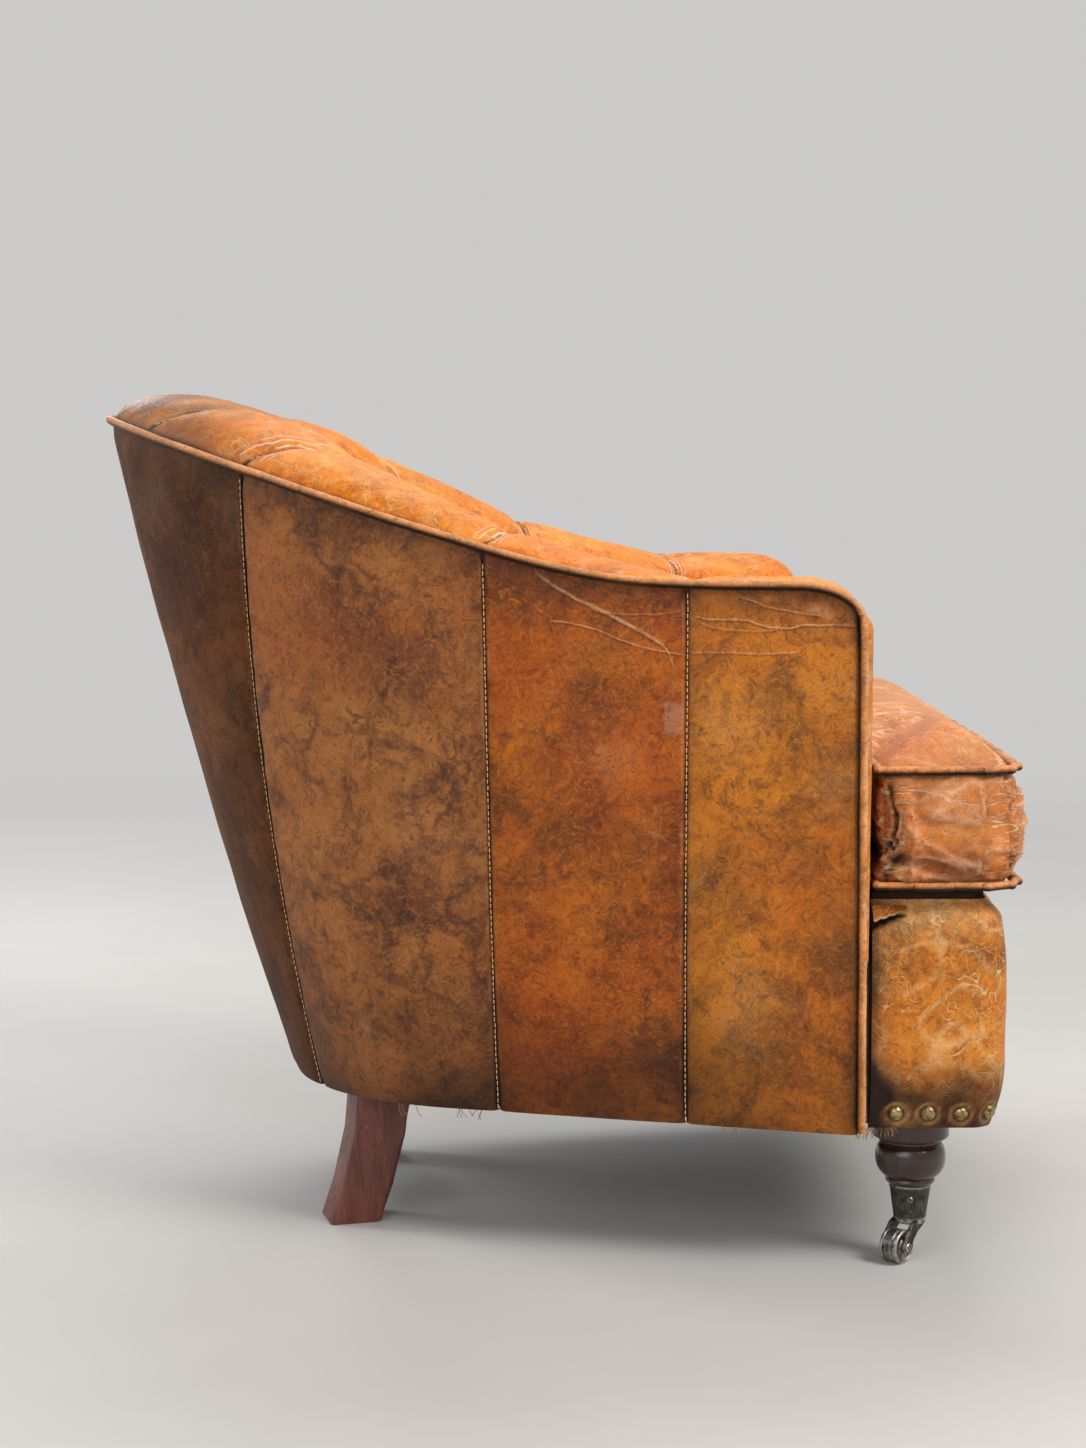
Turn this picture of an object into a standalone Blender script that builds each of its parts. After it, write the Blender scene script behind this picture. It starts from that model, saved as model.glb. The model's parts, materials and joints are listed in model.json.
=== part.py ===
"""A worn leather tub club chair: barrel shell, channelled arms and back, T-shaped seat cushion,
turned front legs on swivelling cup casters, and swept sabre legs behind.

Metres. +X is the front of the chair, +Z is up, and the chair is symmetric about Y = 0.
The origin is on the floor, under the middle of the chair's overall box.
The sitter's left is +Y.
"""

import math

import bmesh
import bpy
from mathutils import Matrix, Vector

# Outer shell, seen from above. Each half plan has a straight side and a round back.
SHELL_BOTTOM_Z = 0.1365
SHELL_FRONT_X = 0.287
SHELL_BOTTOM_FRONT_X = 0.293
BOTTOM_FRONT_HALF_WIDTH = 0.335
BOTTOM_SHOULDER_X = -0.092
BOTTOM_SHOULDER_HALF_WIDTH = 0.228
BOTTOM_BACK_X = -0.265
BOTTOM_ROUNDING = (0.120, 0.105)
TOP_FRONT_HALF_WIDTH = 0.360
TOP_SHOULDER_X = -0.104
TOP_SHOULDER_HALF_WIDTH = 0.346
TOP_BACK_X = -0.4495
TOP_ROUNDING = (0.160, 0.150)
SHELL_BULGE = 0.009
BULGE_FADE = 0.6
BULGE_FADE_START = 0.6

# Top edge of the shell, from the side: a flat arm that sweeps up to the back.
ARM_EDGE_Z = 0.652
SWEEP_SLOPE = 0.315
SWEEP_START_X = 0.046
SWEEP_SOFTNESS = 0.040
ARM_CORNER_LENGTH = 0.058
ARM_CORNER_HEIGHT = 0.035

# Seams, as shares of the way from the middle of the back (0) to the front of the arm (1).
# The first number is at the bottom of the shell and the second at its top edge.
SHOULDER_SHARE = 0.45
REAR_SEAM = (0.205, 0.275)
MIDDLE_SEAM = (0.513, 0.512)
FRONT_SEAM = (0.768, 0.775)
BACK_CHANNEL_SHARE = 0.150
SEAM_GAP_SHARE = 0.0006

# Inner face of the arms and back, and the padded roll over their top.
INNER_FRONT_HALF_WIDTH = 0.254
INNER_SHOULDER_X = -0.044
INNER_SHOULDER_HALF_WIDTH = 0.222
INNER_BACK_X = -0.158
INNER_ROUNDING = (0.075, 0.135)
INNER_BACK_LEAN = 0.36
INNER_SIDE_LEAN = 0.08
SEAT_LINE_Z = 0.470
ARM_ROLL_HEIGHT = 0.005
WING_ROLL_HEIGHT = 0.028
BACK_ROLL_HEIGHT = 0.022
WING_SHARE = 0.19
# Shares between which the roll gets lower, and its drop inside the seat shorter, towards the arm.
ROLL_HEIGHT_EASE = (0.35, 0.90)
ROLL_DROP_EASE = (0.25, 0.75)
ROLL_RISE_SHARE = 0.06
ARM_ROLL_DROP = 0.034
BACK_ROLL_DROP = 0.075
CHANNEL_DIP = 0.008
CHANNEL_LINING_SHARE = 0.54
CHANNEL_CLEARANCE = 0.0020
PAD_BOTTOM_Z = 0.373
ARM_NOSE = 0.012
FACING_WAIST_Z = 0.480
FACING_ROUND_HEIGHT = 0.050

# Leather, piping and clearances.
PANEL_THICKNESS = 0.0032
WELT_RADIUS = 0.0042
PIPING_RADIUS = 0.0040
SEAT_GAP = 0.0003
RUNNING_GAP = 0.0005
FRAME_CLEARANCE = 0.0009

# Hardwood frame. Insets are measured level, inwards from the shell.
RAIL_BOTTOM_Z = 0.145
RAIL_TOP_Z = 0.300
RAIL_INSET = 0.008
RAIL_THICKNESS = 0.022
FRAME_OUTER_SHARE = 0.08
FRAME_INNER_SHARE = 0.46
TOP_RAIL_HEIGHT = 0.055
ROLL_PADDING = 0.016
ARM_POST_SHARES = (0.870, 0.945)
BACK_POST_SHARES = (0.285, 0.345)
BLOCK_HEIGHT = 0.055
BLOCK_CLEARANCE = 0.002
REAR_BLOCK_SHARES = (0.14, 0.42)
REAR_BLOCK_REACH = 0.039
RAIL_JOINT_SHARE = 0.001
SIDE_RAIL_END_SHARE = 0.985

# Seat deck and its springs.
DECK_TOP_Z = 0.368
DECK_CLEARANCE = 0.002
DECK_REAR_SHARE = 0.16
DECK_STEP = 0.0005
SPRING_WIRE_RADIUS = 0.0019
SPRING_ROWS = 4
SPRING_SPACING = 0.095
SPRING_WAVES = 6
SPRING_HALF_WIDTH = 0.024
SPRING_ARCH = 0.028
SPRING_JOIN_LENGTH = 0.10
SPRING_SEAT_SHARE = 0.58

# Seat cushion: T-shaped, with ears in front of the arms.
CUSHION_THICKNESS = 0.112
CUSHION_CROWN = 0.048
CROWN_REACH = 0.150
CUSHION_CLEARANCE = 0.001
CUSHION_EAR_HALF_WIDTH = 0.327
CUSHION_FRONT_X = 0.433
CUSHION_FRONT_BOW = 0.004
CUSHION_SIDE_BULGE = 0.0165
CUSHION_CORNER_RADIUS = 0.030
CUSHION_BULGE_RUN = 0.030
CUSHION_REAR_SHARE = 0.34
EAR_CLEARANCE = 0.003

# Padded front border of the seat platform, nailed along its lower edge.
BORDER_HALF_WIDTH = 0.334
BORDER_FRONT_X = 0.432
BORDER_FRONT_BOW = 0.006
BORDER_BOTTOM_Z = 0.1415
BORDER_TOP_Z = 0.3575
BORDER_CORNER_RADIUS = 0.034
BORDER_PADDING = 0.022
BORDER_FACING_GAP = 0.0025
PLATFORM_CORNER_CLEARANCE = 0.002
# The padding is fullest between these shares of its height. It is tucked in at the bottom
# and pulled back at the top.
BORDER_FULLEST = (0.30, 0.55)
BORDER_TUCK = 0.014
BORDER_TOP_PULL = 0.0085
NAIL_RADIUS = 0.0078
NAIL_DOME = 0.0042
NAIL_SPACING = 0.0305
NAIL_SUNK = 0.0010
NAIL_Z = 0.1555
NAIL_END_ROOM = 0.018

# Turned front legs, set in from the border's front and sides.
# Radii and heights of the turning go from the top down.
FRONT_LEG_SETBACK = 0.083
FRONT_LEG_SIDE_SETBACK = 0.072
FRONT_LEG_X = BORDER_FRONT_X - FRONT_LEG_SETBACK
FRONT_LEG_Y = BORDER_HALF_WIDTH - FRONT_LEG_SIDE_SETBACK
LEG_CAP_RADIUS = 0.0366
LEG_CAP_BOTTOM_Z = 0.1190
LEG_NECK_RADIUS = 0.0300
LEG_BALL_RADIUS = 0.0337
LEG_BALL_Z = 0.1000
LEG_CAP_CHAMFER = 0.0025
LEG_COVE_TOP = 0.0010
LEG_COVE_BOTTOM = 0.0055
LEG_COVE_DEPTH = 0.0008
LEG_BEAD_HEIGHT = 0.0050
LEG_BEAD_LOW = 0.0022
LEG_BEAD_REACH = 0.0024
LEG_BALL_OVER_BEAD = 0.0060
TENON_CLEARANCE = 0.002
TENON_RADIUS = 0.0110
TENON_LENGTH = 0.034

# Casters: an iron cup on the leg, and a horn that swivels under it.
CUP_TOP_Z = 0.0735
CUP_BOTTOM_Z = 0.0400
CUP_TOP_RADIUS = 0.0200
CUP_BOTTOM_RADIUS = 0.0150
CUP_WALL = 0.0016
CUP_FLOOR = 0.0040
STEM_RADIUS = 0.0036
STEM_HEAD_RADIUS = 0.0062
STEM_HEAD_HEIGHT = 0.0030
HORN_PLATE_RADIUS = 0.0145
HORN_PLATE_THICKNESS = 0.0040
WHEEL_RADIUS = 0.0165
WHEEL_WIDTH = 0.0190
WHEEL_GROOVE_DEPTH = 0.0016
WHEEL_GROOVE_WIDTH = 0.0095
WHEEL_TRAIL = 0.0230
WHEEL_SIDE_GAP = 0.0008
WHEEL_CHAMFER = 0.0012
WHEEL_HUB_RADIUS = 0.0076
WHEEL_RIM_WALL = 0.0033
AXLE_RADIUS = 0.0026
AXLE_HEAD_RADIUS = 0.0046
AXLE_HEAD_HEIGHT = 0.0016
AXLE_HEAD_CHAMFER = 0.0010
CHEEK_THICKNESS = 0.0028
CHEEK_BOSS_RADIUS = 0.0068
# The cheek's edges between its plate and its boss, as seen from the side: the line behind the
# plate's front, towards the wheel, and the line over the wheel. Each is (trail, height).
CHEEK_FRONT_EDGE = ((-0.0070, 0.0365), (-0.0040, 0.0335), (0.0050, 0.0290), (0.0125, 0.0220))
CHEEK_REAR_EDGE = ((0.0225, 0.0300), (0.0165, 0.0365))
CHEEK_PLATE_SPAN = (-0.0060, 0.0100)
CHEEK_SUNK = 0.0004
CASTER_TURN_DEG = 130.0

# Rear legs: square, swept back and turned outwards.
REAR_LEG_X = -0.17
REAR_LEG_Y = 0.117
REAR_LEG_WIDTH = 0.054
REAR_LEG_FOOT_WIDTH = 0.051
REAR_LEG_SWEEP = 0.031
REAR_LEG_TURN_DEG = 16.0
REAR_LEG_ARRIS = 0.0025

DUST_COVER_THICKNESS = 0.0014
DUST_COVER_INSET = 0.012
DUST_COVER_MARGIN = 0.004
DUST_COVER_SIDE_SHARE = 0.97
LEG_HOLE_CLEARANCE = 0.0015
CUT_DEPTH = 0.010

MATERIALS = {
    "leather": ((0.36, 0.13, 0.035), 0.38, 0.0),
    "leather_inner": ((0.55, 0.20, 0.05), 0.40, 0.0),
    "piping": ((0.42, 0.20, 0.09), 0.50, 0.0),
    "hardwood": ((0.45, 0.30, 0.17), 0.70, 0.0),
    "mahogany": ((0.10, 0.028, 0.02), 0.35, 0.0),
    "caster_iron": ((0.07, 0.065, 0.06), 0.42, 0.9),
    "wheel_metal": ((0.25, 0.24, 0.21), 0.38, 0.9),
    "brass": ((0.42, 0.32, 0.14), 0.32, 1.0),
    "spring_steel": ((0.35, 0.35, 0.35), 0.40, 1.0),
    "burlap": ((0.38, 0.29, 0.17), 0.95, 0.0),
    "dust_cloth": ((0.012, 0.012, 0.012), 0.95, 0.0),
}


def clear_scene():
    for old in list(bpy.data.objects):
        bpy.data.objects.remove(old, do_unlink=True)


def new_collection(name):
    made = bpy.data.collections.new(name)
    bpy.context.scene.collection.children.link(made)
    return made


def new_material(name):
    colour, roughness, metallic = MATERIALS[name]
    made = bpy.data.materials.new(name)
    made.use_nodes = True
    shader = made.node_tree.nodes["Principled BSDF"]
    shader.inputs["Base Color"].default_value = (*colour, 1.0)
    shader.inputs["Roughness"].default_value = roughness
    shader.inputs["Metallic"].default_value = metallic
    return made


clear_scene()
CHAIR = new_collection("club_chair")
CUTTERS = new_collection("cutters")
MATERIAL = {name: new_material(name) for name in MATERIALS}


# Mesh helpers


def add_object(name, data, material, smooth=True):
    made = bpy.data.objects.new(name, data)
    CHAIR.objects.link(made)
    data.materials.append(MATERIAL[material])
    if smooth and isinstance(data, bpy.types.Mesh):
        data.shade_smooth()
        data.set_sharp_from_angle(angle=math.radians(40))
    return made


def mesh_from(bm, name):
    bmesh.ops.recalc_face_normals(bm, faces=bm.faces)
    data = bpy.data.meshes.new(name)
    bm.to_mesh(data)
    bm.free()
    return data


def loft_mesh(name, rings):
    """A closed skin through rings of as many points each, capped at both ends."""
    bm = bmesh.new()
    rows = [[bm.verts.new(p) for p in ring] for ring in rings]
    count = len(rows[0])
    for low, high in zip(rows, rows[1:]):
        for i in range(count):
            j = (i + 1) % count
            bm.faces.new((low[i], low[j], high[j], high[i]))
    bm.faces.new(rows[0])
    bm.faces.new(rows[-1])
    return mesh_from(bm, name)


def loft(name, rings, material, smooth=True):
    return add_object(name, loft_mesh(name, rings), material, smooth)


def leather_sheet(name, grid, material):
    """An open surface with the leather's thickness behind it."""
    bm = bmesh.new()
    rows = [[bm.verts.new(p) for p in row] for row in grid]
    for low, high in zip(rows, rows[1:]):
        for a, b, c, d in zip(low, low[1:], high[1:], high):
            bm.faces.new((a, b, c, d))
    data = bpy.data.meshes.new(name)
    bm.to_mesh(data)
    bm.free()
    made = add_object(name, data, material)
    solid = made.modifiers.new("thickness", "SOLIDIFY")
    solid.thickness = PANEL_THICKNESS
    solid.offset = -1.0
    solid.use_even_offset = True
    return made


def tube(name, points, radius, material, cyclic=False):
    curve = bpy.data.curves.new(name, "CURVE")
    curve.dimensions = "3D"
    curve.bevel_depth = radius
    curve.bevel_resolution = 1
    curve.use_fill_caps = not cyclic
    line = curve.splines.new("POLY")
    line.points.add(len(points) - 1)
    for spot, p in zip(line.points, points):
        spot.co = (*p, 1.0)
    line.use_cyclic_u = cyclic
    return add_object(name, curve, material)


def box_mesh(name, low, high):
    bm = bmesh.new()
    size = Vector(high) - Vector(low)
    middle = (Vector(high) + Vector(low)) / 2
    bmesh.ops.create_cube(bm, size=1.0, matrix=Matrix.Translation(middle) @ Matrix.Diagonal((*size, 1.0)))
    return mesh_from(bm, name)


def board(name, low, high, material, edge=0.002):
    made = add_object(name, box_mesh(name, low, high), material, smooth=False)
    bevel = made.modifiers.new("eased edges", "BEVEL")
    bevel.width = edge
    bevel.segments = 1
    return made


def turned(name, profile, material, steps=24):
    """A lathe-turned piece. The profile is (radius, height), top to bottom."""
    data = bpy.data.meshes.new(name)
    points = [(r, 0.0, z) for r, z in profile]
    data.from_pydata(points, [(i, i + 1) for i in range(len(points) - 1)], [])
    made = add_object(name, data, material, smooth=False)
    screw = made.modifiers.new("turning", "SCREW")
    screw.steps = steps
    screw.render_steps = steps
    screw.use_merge_vertices = True
    screw.merge_threshold = 0.00005
    screw.use_smooth_shade = True
    return made


def cylinder_mesh(name, radius, low, high, sides=16):
    bm = bmesh.new()
    bmesh.ops.create_cone(
        bm,
        cap_ends=True,
        segments=sides,
        radius1=radius,
        radius2=radius,
        depth=high - low,
        matrix=Matrix.Translation((0.0, 0.0, (low + high) / 2)),
    )
    return mesh_from(bm, name)


def boolean(target, tool, operation):
    """Cuts or joins target with tool, which stays in the cutters' collection, unseen."""
    if tool.name in CHAIR.objects:
        CHAIR.objects.unlink(tool)
    if tool.name not in CUTTERS.objects:
        CUTTERS.objects.link(tool)
    tool.hide_render = True
    tool.display_type = "WIRE"
    cut = target.modifiers.new(operation.lower(), "BOOLEAN")
    cut.operation = operation
    cut.object = tool
    cut.solver = "EXACT"


def tool_object(name, data):
    made = bpy.data.objects.new(name, data)
    CUTTERS.objects.link(made)
    made.hide_render = True
    made.display_type = "WIRE"
    return made


SIDES = (-1, 1)


def side_name(side):
    """+Y is the sitter's left."""
    return "left" if side > 0 else "right"


def mirrored(points, side):
    return [Vector((p.x, p.y * side, p.z)) for p in points]


# Geometry of the shell


def mix(a, b, share):
    return a + (b - a) * share


def smoothstep(low, high, value):
    share = min(1.0, max(0.0, (value - low) / (high - low)))
    return share * share * (3.0 - 2.0 * share)


def plan_point(share, front, shoulder, back_x, rounding):
    """A point on the left half of a U-shaped plan, from the middle of the back to the front."""
    front = Vector(front)
    shoulder = Vector(shoulder)
    if share >= SHOULDER_SHARE:
        return shoulder.lerp(front, (share - SHOULDER_SHARE) / (1.0 - SHOULDER_SHARE))
    along = (shoulder - front).normalized()
    corner = shoulder + along * rounding[0]
    rear = Vector((back_x, rounding[1]))
    middle = Vector((back_x, 0.0))
    w = share / SHOULDER_SHARE
    v = 1.0 - w
    return shoulder * w**3 + corner * (3 * v * w * w) + rear * (3 * v * v * w) + middle * v**3


def bottom_plan(share):
    front = (SHELL_BOTTOM_FRONT_X, BOTTOM_FRONT_HALF_WIDTH)
    shoulder = (BOTTOM_SHOULDER_X, BOTTOM_SHOULDER_HALF_WIDTH)
    return plan_point(share, front, shoulder, BOTTOM_BACK_X, BOTTOM_ROUNDING)


def top_plan(share):
    front = (SHELL_FRONT_X, TOP_FRONT_HALF_WIDTH)
    shoulder = (TOP_SHOULDER_X, TOP_SHOULDER_HALF_WIDTH)
    return plan_point(share, front, shoulder, TOP_BACK_X, TOP_ROUNDING)


def edge_height(share):
    """Height of the shell's top edge, without the round front corner of the arm."""
    swell = (SWEEP_START_X - top_plan(share).x) / SWEEP_SOFTNESS
    return ARM_EDGE_Z + SWEEP_SLOPE * SWEEP_SOFTNESS * math.log1p(math.exp(swell))


def corner_drop(share, trim=0.0):
    """How far the arm's round front corner lies below its straight top edge."""
    length = ARM_CORNER_LENGTH - trim
    past = top_plan(share).x - (SHELL_FRONT_X - ARM_CORNER_LENGTH)
    past = min(max(past / length, 0.0), 1.0)
    return (ARM_CORNER_HEIGHT - trim) * (1.0 - math.sqrt(1.0 - past**2))


def shell_point(share, rise, inset=0.0):
    """A point on the outer shell: rise runs from 0 (bottom) to 1 (top edge), inset goes inwards."""
    def level(at):
        at = min(1.0, max(0.0, at))
        return bottom_plan(at).lerp(top_plan(at), rise)

    step = 0.002
    along = (level(share + step) - level(share - step)).normalized()
    outward = Vector((-along.y, along.x))
    fade = 1.0 - BULGE_FADE * smoothstep(BULGE_FADE_START, 1.0, share)
    bulge = SHELL_BULGE * 4.0 * rise * (1.0 - rise) * fade
    flat = level(share) + outward * (bulge - inset)
    return Vector((flat.x, flat.y, mix(SHELL_BOTTOM_Z, edge_height(share), rise)))


def shell_at_height(share, z, inset=0.0):
    rise = (z - SHELL_BOTTOM_Z) / (edge_height(share) - SHELL_BOTTOM_Z)
    return shell_point(share, rise, inset)


def inner_point(share, z):
    """A point on the inner face of the arms and back."""
    above = max(0.0, z - SEAT_LINE_Z)
    front = (SHELL_FRONT_X, INNER_FRONT_HALF_WIDTH)
    shoulder = (INNER_SHOULDER_X, INNER_SHOULDER_HALF_WIDTH + INNER_SIDE_LEAN * above)
    back_x = INNER_BACK_X - INNER_BACK_LEAN * above
    flat = plan_point(share, front, shoulder, back_x, INNER_ROUNDING)
    return Vector((flat.x, flat.y, z))


def inner_inset(share, z, inset):
    """A point inset from the inner face towards the middle of the seat."""
    step = 0.004
    along = inner_point(min(1.0, share + step), z) - inner_point(max(0.0, share - step), z)
    along.normalize()
    return inner_point(share, z) + Vector((along.y, -along.x, 0.0)) * inset


class WallSection:
    """The upright plane that cuts the arm or back at one share of the half plan.
    Lengths across run from the shell's top edge towards the seat."""

    def __init__(self, share):
        self.share = abs(share)
        self.side = 1.0 if share >= 0.0 else -1.0
        self.edge_z = edge_height(self.share) - corner_drop(self.share)
        self.origin = shell_point(self.share, 1.0)
        across = inner_point(self.share, SEAT_LINE_Z) - self.origin
        across.z = 0.0
        self.across = across.normalized()

    def crossing(self, curve):
        """How far across this plane meets a level curve, given as a point for each share."""
        def beside(share):
            away = curve(share) - self.origin
            return self.across.x * away.y - self.across.y * away.x

        low, high = max(0.0, self.share - 0.3), min(1.0, self.share + 0.3)
        if beside(low) * beside(high) < 0.0:
            rising = beside(high) > 0.0
            for _ in range(24):
                share = (low + high) / 2.0
                if (beside(share) > 0.0) == rising:
                    high = share
                else:
                    low = share
        else:
            share = self.share
        return (curve(share) - self.origin).dot(self.across)

    def outer(self, z, inset=0.0):
        return self.crossing(lambda share: shell_at_height(share, z, inset))

    def inner(self, z):
        return self.crossing(lambda share: inner_point(share, z))

    def between(self, z, depth):
        """Depth 0 is on the outer shell, 1 on the inner face."""
        return mix(self.outer(z), self.inner(z), depth)

    def place(self, across, z):
        p = self.origin + self.across * across
        return Vector((p.x, p.y * self.side, z))

    def rail_top(self):
        return self.edge_z - ROLL_PADDING - FRAME_CLEARANCE

    def rail_bottom(self):
        return self.rail_top() - TOP_RAIL_HEIGHT


def even_steps(start, end, count):
    return [mix(start, end, i / count) for i in range(count + 1)]


def corner_share():
    """The share at which the arm's top edge starts to round down to its front."""
    straight = (SHELL_FRONT_X - TOP_SHOULDER_X) / (1.0 - SHOULDER_SHARE)
    return 1.0 - ARM_CORNER_LENGTH / straight


def arm_end_steps(start, end):
    """Stations along the front of the arm, closer together round its corner."""
    turn = corner_share()
    steps = even_steps(start, turn, 4)
    corner = [turn + (end - turn) * math.sin(math.radians(a)) for a in (16, 32, 48, 64, 90)]
    return steps + corner


def pad_spans():
    """Name, side, stations of each channel of the arms and back."""
    gap = SEAM_GAP_SHARE
    back, rear, middle, front = BACK_CHANNEL_SHARE, REAR_SEAM[1], MIDDLE_SEAM[1], FRONT_SEAM[1]
    yield "back_channel_middle", even_steps(-back + gap, back - gap, 8)
    for side in SIDES:
        label = side_name(side)
        spans = (
            (f"back_channel_{label}", even_steps(back + gap, rear - gap, 4)),
            (f"arm_channel_{label}_rear", even_steps(rear + gap, middle - gap, 6)),
            (f"arm_channel_{label}_middle", even_steps(middle + gap, front - gap, 5)),
            (f"arm_channel_{label}_front", arm_end_steps(front + gap, 1.0)),
        )
        for name, shares in spans:
            yield name, [side * s for s in shares]


# Outer leather and piping


def outer_panel(name, seam_a, seam_b, side, fractions, rows=6):
    """A leather panel between two seams, each given at the bottom and at the top."""
    grid = []
    for r in range(rows + 1):
        rise = r / rows
        row = []
        for fraction in fractions:
            share = mix(mix(seam_a[0], seam_a[1], rise), mix(seam_b[0], seam_b[1], rise), fraction)
            p = shell_point(abs(share), rise)
            trim = WELT_RADIUS + SEAT_GAP
            top = edge_height(abs(share)) - trim - corner_drop(abs(share), trim)
            height = mix(SHELL_BOTTOM_Z, top, rise)
            row.append(Vector((p.x, p.y * side * (1.0 if share >= 0.0 else -1.0), height)))
        grid.append(row if side > 0 else row[::-1])
    return leather_sheet(name, grid, "leather")


def outer_panels():
    gap = SEAM_GAP_SHARE
    trim = (WELT_RADIUS + SEAT_GAP) / (SHELL_FRONT_X - TOP_SHOULDER_X) * (1.0 - SHOULDER_SHARE)
    end = 1.0 - trim

    def moved(seam, amount):
        return seam[0] + amount, seam[1] + amount

    start = FRONT_SEAM[1] + gap
    front_fractions = [(s - start) / (end - start) for s in arm_end_steps(start, end)]
    for side in SIDES:
        label = side_name(side)
        rear_span = (moved(REAR_SEAM, gap), moved(MIDDLE_SEAM, -gap))
        middle_span = (moved(MIDDLE_SEAM, gap), moved(FRONT_SEAM, -gap))
        front_span = (moved(FRONT_SEAM, gap), (end, end))
        outer_panel(f"outer_panel_{label}_rear", *rear_span, side, even_steps(0, 1, 8))
        outer_panel(f"outer_panel_{label}_middle", *middle_span, side, even_steps(0, 1, 4))
        outer_panel(f"outer_panel_{label}_front", *front_span, side, front_fractions)
    back = moved(REAR_SEAM, -gap)
    outer_panel("outer_panel_back", (-back[0], -back[1]), back, 1, even_steps(0, 1, 13))


def outer_welt():
    """Piping up one arm's front edge, round the top of the shell and down the other."""
    stations = {abs(share) for name, shares in pad_spans() for share in shares}
    half = [shell_point(s, 1.0) for s in sorted(stations) if s <= corner_share() + 0.0001]
    for step in range(1, 6):
        angle = math.radians(90.0 - 18.0 * step)
        z = ARM_EDGE_Z - ARM_CORNER_HEIGHT * (1.0 - math.sin(angle))
        p = shell_at_height(1.0, z)
        p.x = SHELL_FRONT_X - ARM_CORNER_LENGTH * (1.0 - math.cos(angle))
        half.append(p)
    low = SHELL_BOTTOM_Z + WELT_RADIUS
    half += [shell_at_height(1.0, z) for z in even_steps(ARM_EDGE_Z - ARM_CORNER_HEIGHT, low, 6)[1:]]
    right = [Vector((p.x, -p.y, p.z)) for p in reversed(half[1:])]
    tube("outer_welt", right + half, WELT_RADIUS, "piping")


# Channelled arms and back


def roll_height(share):
    """Height of the padded roll over the shell's edge, fullest at the wings."""
    base = mix(BACK_ROLL_HEIGHT, ARM_ROLL_HEIGHT, smoothstep(*ROLL_HEIGHT_EASE, share))
    wing = 1.0 - min(1.0, abs(share - WING_SHARE) / WING_SHARE)
    return base + (WING_ROLL_HEIGHT - BACK_ROLL_HEIGHT) * smoothstep(0.0, 1.0, wing)


def pad_section(share, dip):
    """The outline of a channel: outer edge, over the roll, down the inner face and up the lining."""
    wall = WallSection(share)
    edge = wall.edge_z
    under = edge - ROLL_PADDING
    start = wall.outer(edge, WELT_RADIUS + 2 * SEAT_GAP)
    drop = mix(BACK_ROLL_DROP, ARM_ROLL_DROP, smoothstep(*ROLL_DROP_EASE, wall.share))
    end_z = edge - drop
    end = wall.inner(end_z)
    # The curve's middle stands three quarters of the reach, less an eighth of the drop, over the edge.
    reach = (roll_height(wall.share) + drop / 8.0) / 0.75
    controls = (
        Vector((start, edge)),
        Vector((mix(start, end, ROLL_RISE_SHARE), edge + reach)),
        Vector((end, edge + reach)),
        Vector((end, end_z)),
    )
    middle = Vector((mix(start, end, 0.5), edge - drop * 0.5))
    points = [Vector((wall.outer(under, PANEL_THICKNESS + CHANNEL_CLEARANCE), under))]
    steps = 9
    for i in range(steps + 1):
        t = i / steps
        v = 1.0 - t
        weights = (v**3, 3 * v * v * t, 3 * v * t * t, t**3)
        p = sum((c * w for c, w in zip(controls, weights)), Vector((0.0, 0.0)))
        pull = dip * smoothstep(0.0, 0.25, t)
        points.append(p + (middle - p).normalized() * pull)
    low = PAD_BOTTOM_Z
    for z in even_steps(end_z, low, 5)[1:]:
        pull = dip * smoothstep(low, SEAT_LINE_Z, z)
        points.append(Vector((wall.inner(z) - pull, z)))
    for z in even_steps(low, under, 3):
        points.append(Vector((wall.between(z, CHANNEL_LINING_SHARE), z)))
    return [wall.place(p.x, p.y) for p in points]


def channels():
    for name, shares in pad_spans():
        first, last = shares[0], shares[-1]
        rings = []
        for share in shares:
            place = (share - first) / (last - first)
            edge = abs(2.0 * place - 1.0) ** 4
            at_front = abs(share) > 0.99 or (name.endswith("front") and place > 0.5)
            rings.append(pad_section(share, 0.0 if at_front else CHANNEL_DIP * edge))
        loft(name, rings, "leather_inner")


def arm_facings():
    """The padded front faces of the arms, a little ahead of the piping."""
    section = pad_section(1.0, 0.0)
    outline = section[1:11]
    bottom = RAIL_TOP_Z + SEAT_GAP
    outer_y = outline[0].y - SEAT_GAP
    ring = [Vector((0.0, p.y, p.z)) for p in outline]
    inner_y = ring[-1].y
    ring += [Vector((0.0, inner_y, z)) for z in (FACING_WAIST_Z, bottom)]
    for z in (bottom, FACING_WAIST_Z):
        ring.append(Vector((0.0, shell_at_height(1.0, z, WELT_RADIUS + 2 * SEAT_GAP).y, z)))
    ring[0] = Vector((0.0, outer_y, ring[0].z))
    centre_y = (outer_y + inner_y) / 2.0
    top = max(p.z for p in ring) - FACING_ROUND_HEIGHT
    shapes = ((0.0, 0.0), (0.45, 0.0), (0.80, 0.10), (0.96, 0.32), (1.0, 0.60))
    for side in SIDES:
        rings = []
        for forward, pull in shapes:
            x = SHELL_FRONT_X + SEAT_GAP + ARM_NOSE * forward
            row = []
            for p in ring:
                y = mix(p.y, centre_y, pull)
                z = p.z if p.z < top else mix(p.z, top, pull * 0.6)
                row.append(Vector((x, y * side, z)))
            rings.append(row)
        loft(f"arm_facing_{side_name(side)}", rings, "leather")


# Hardwood frame


def board_along(name, stations):
    """A board through four-cornered sections."""
    loft(name, stations, "hardwood", smooth=False)


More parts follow.
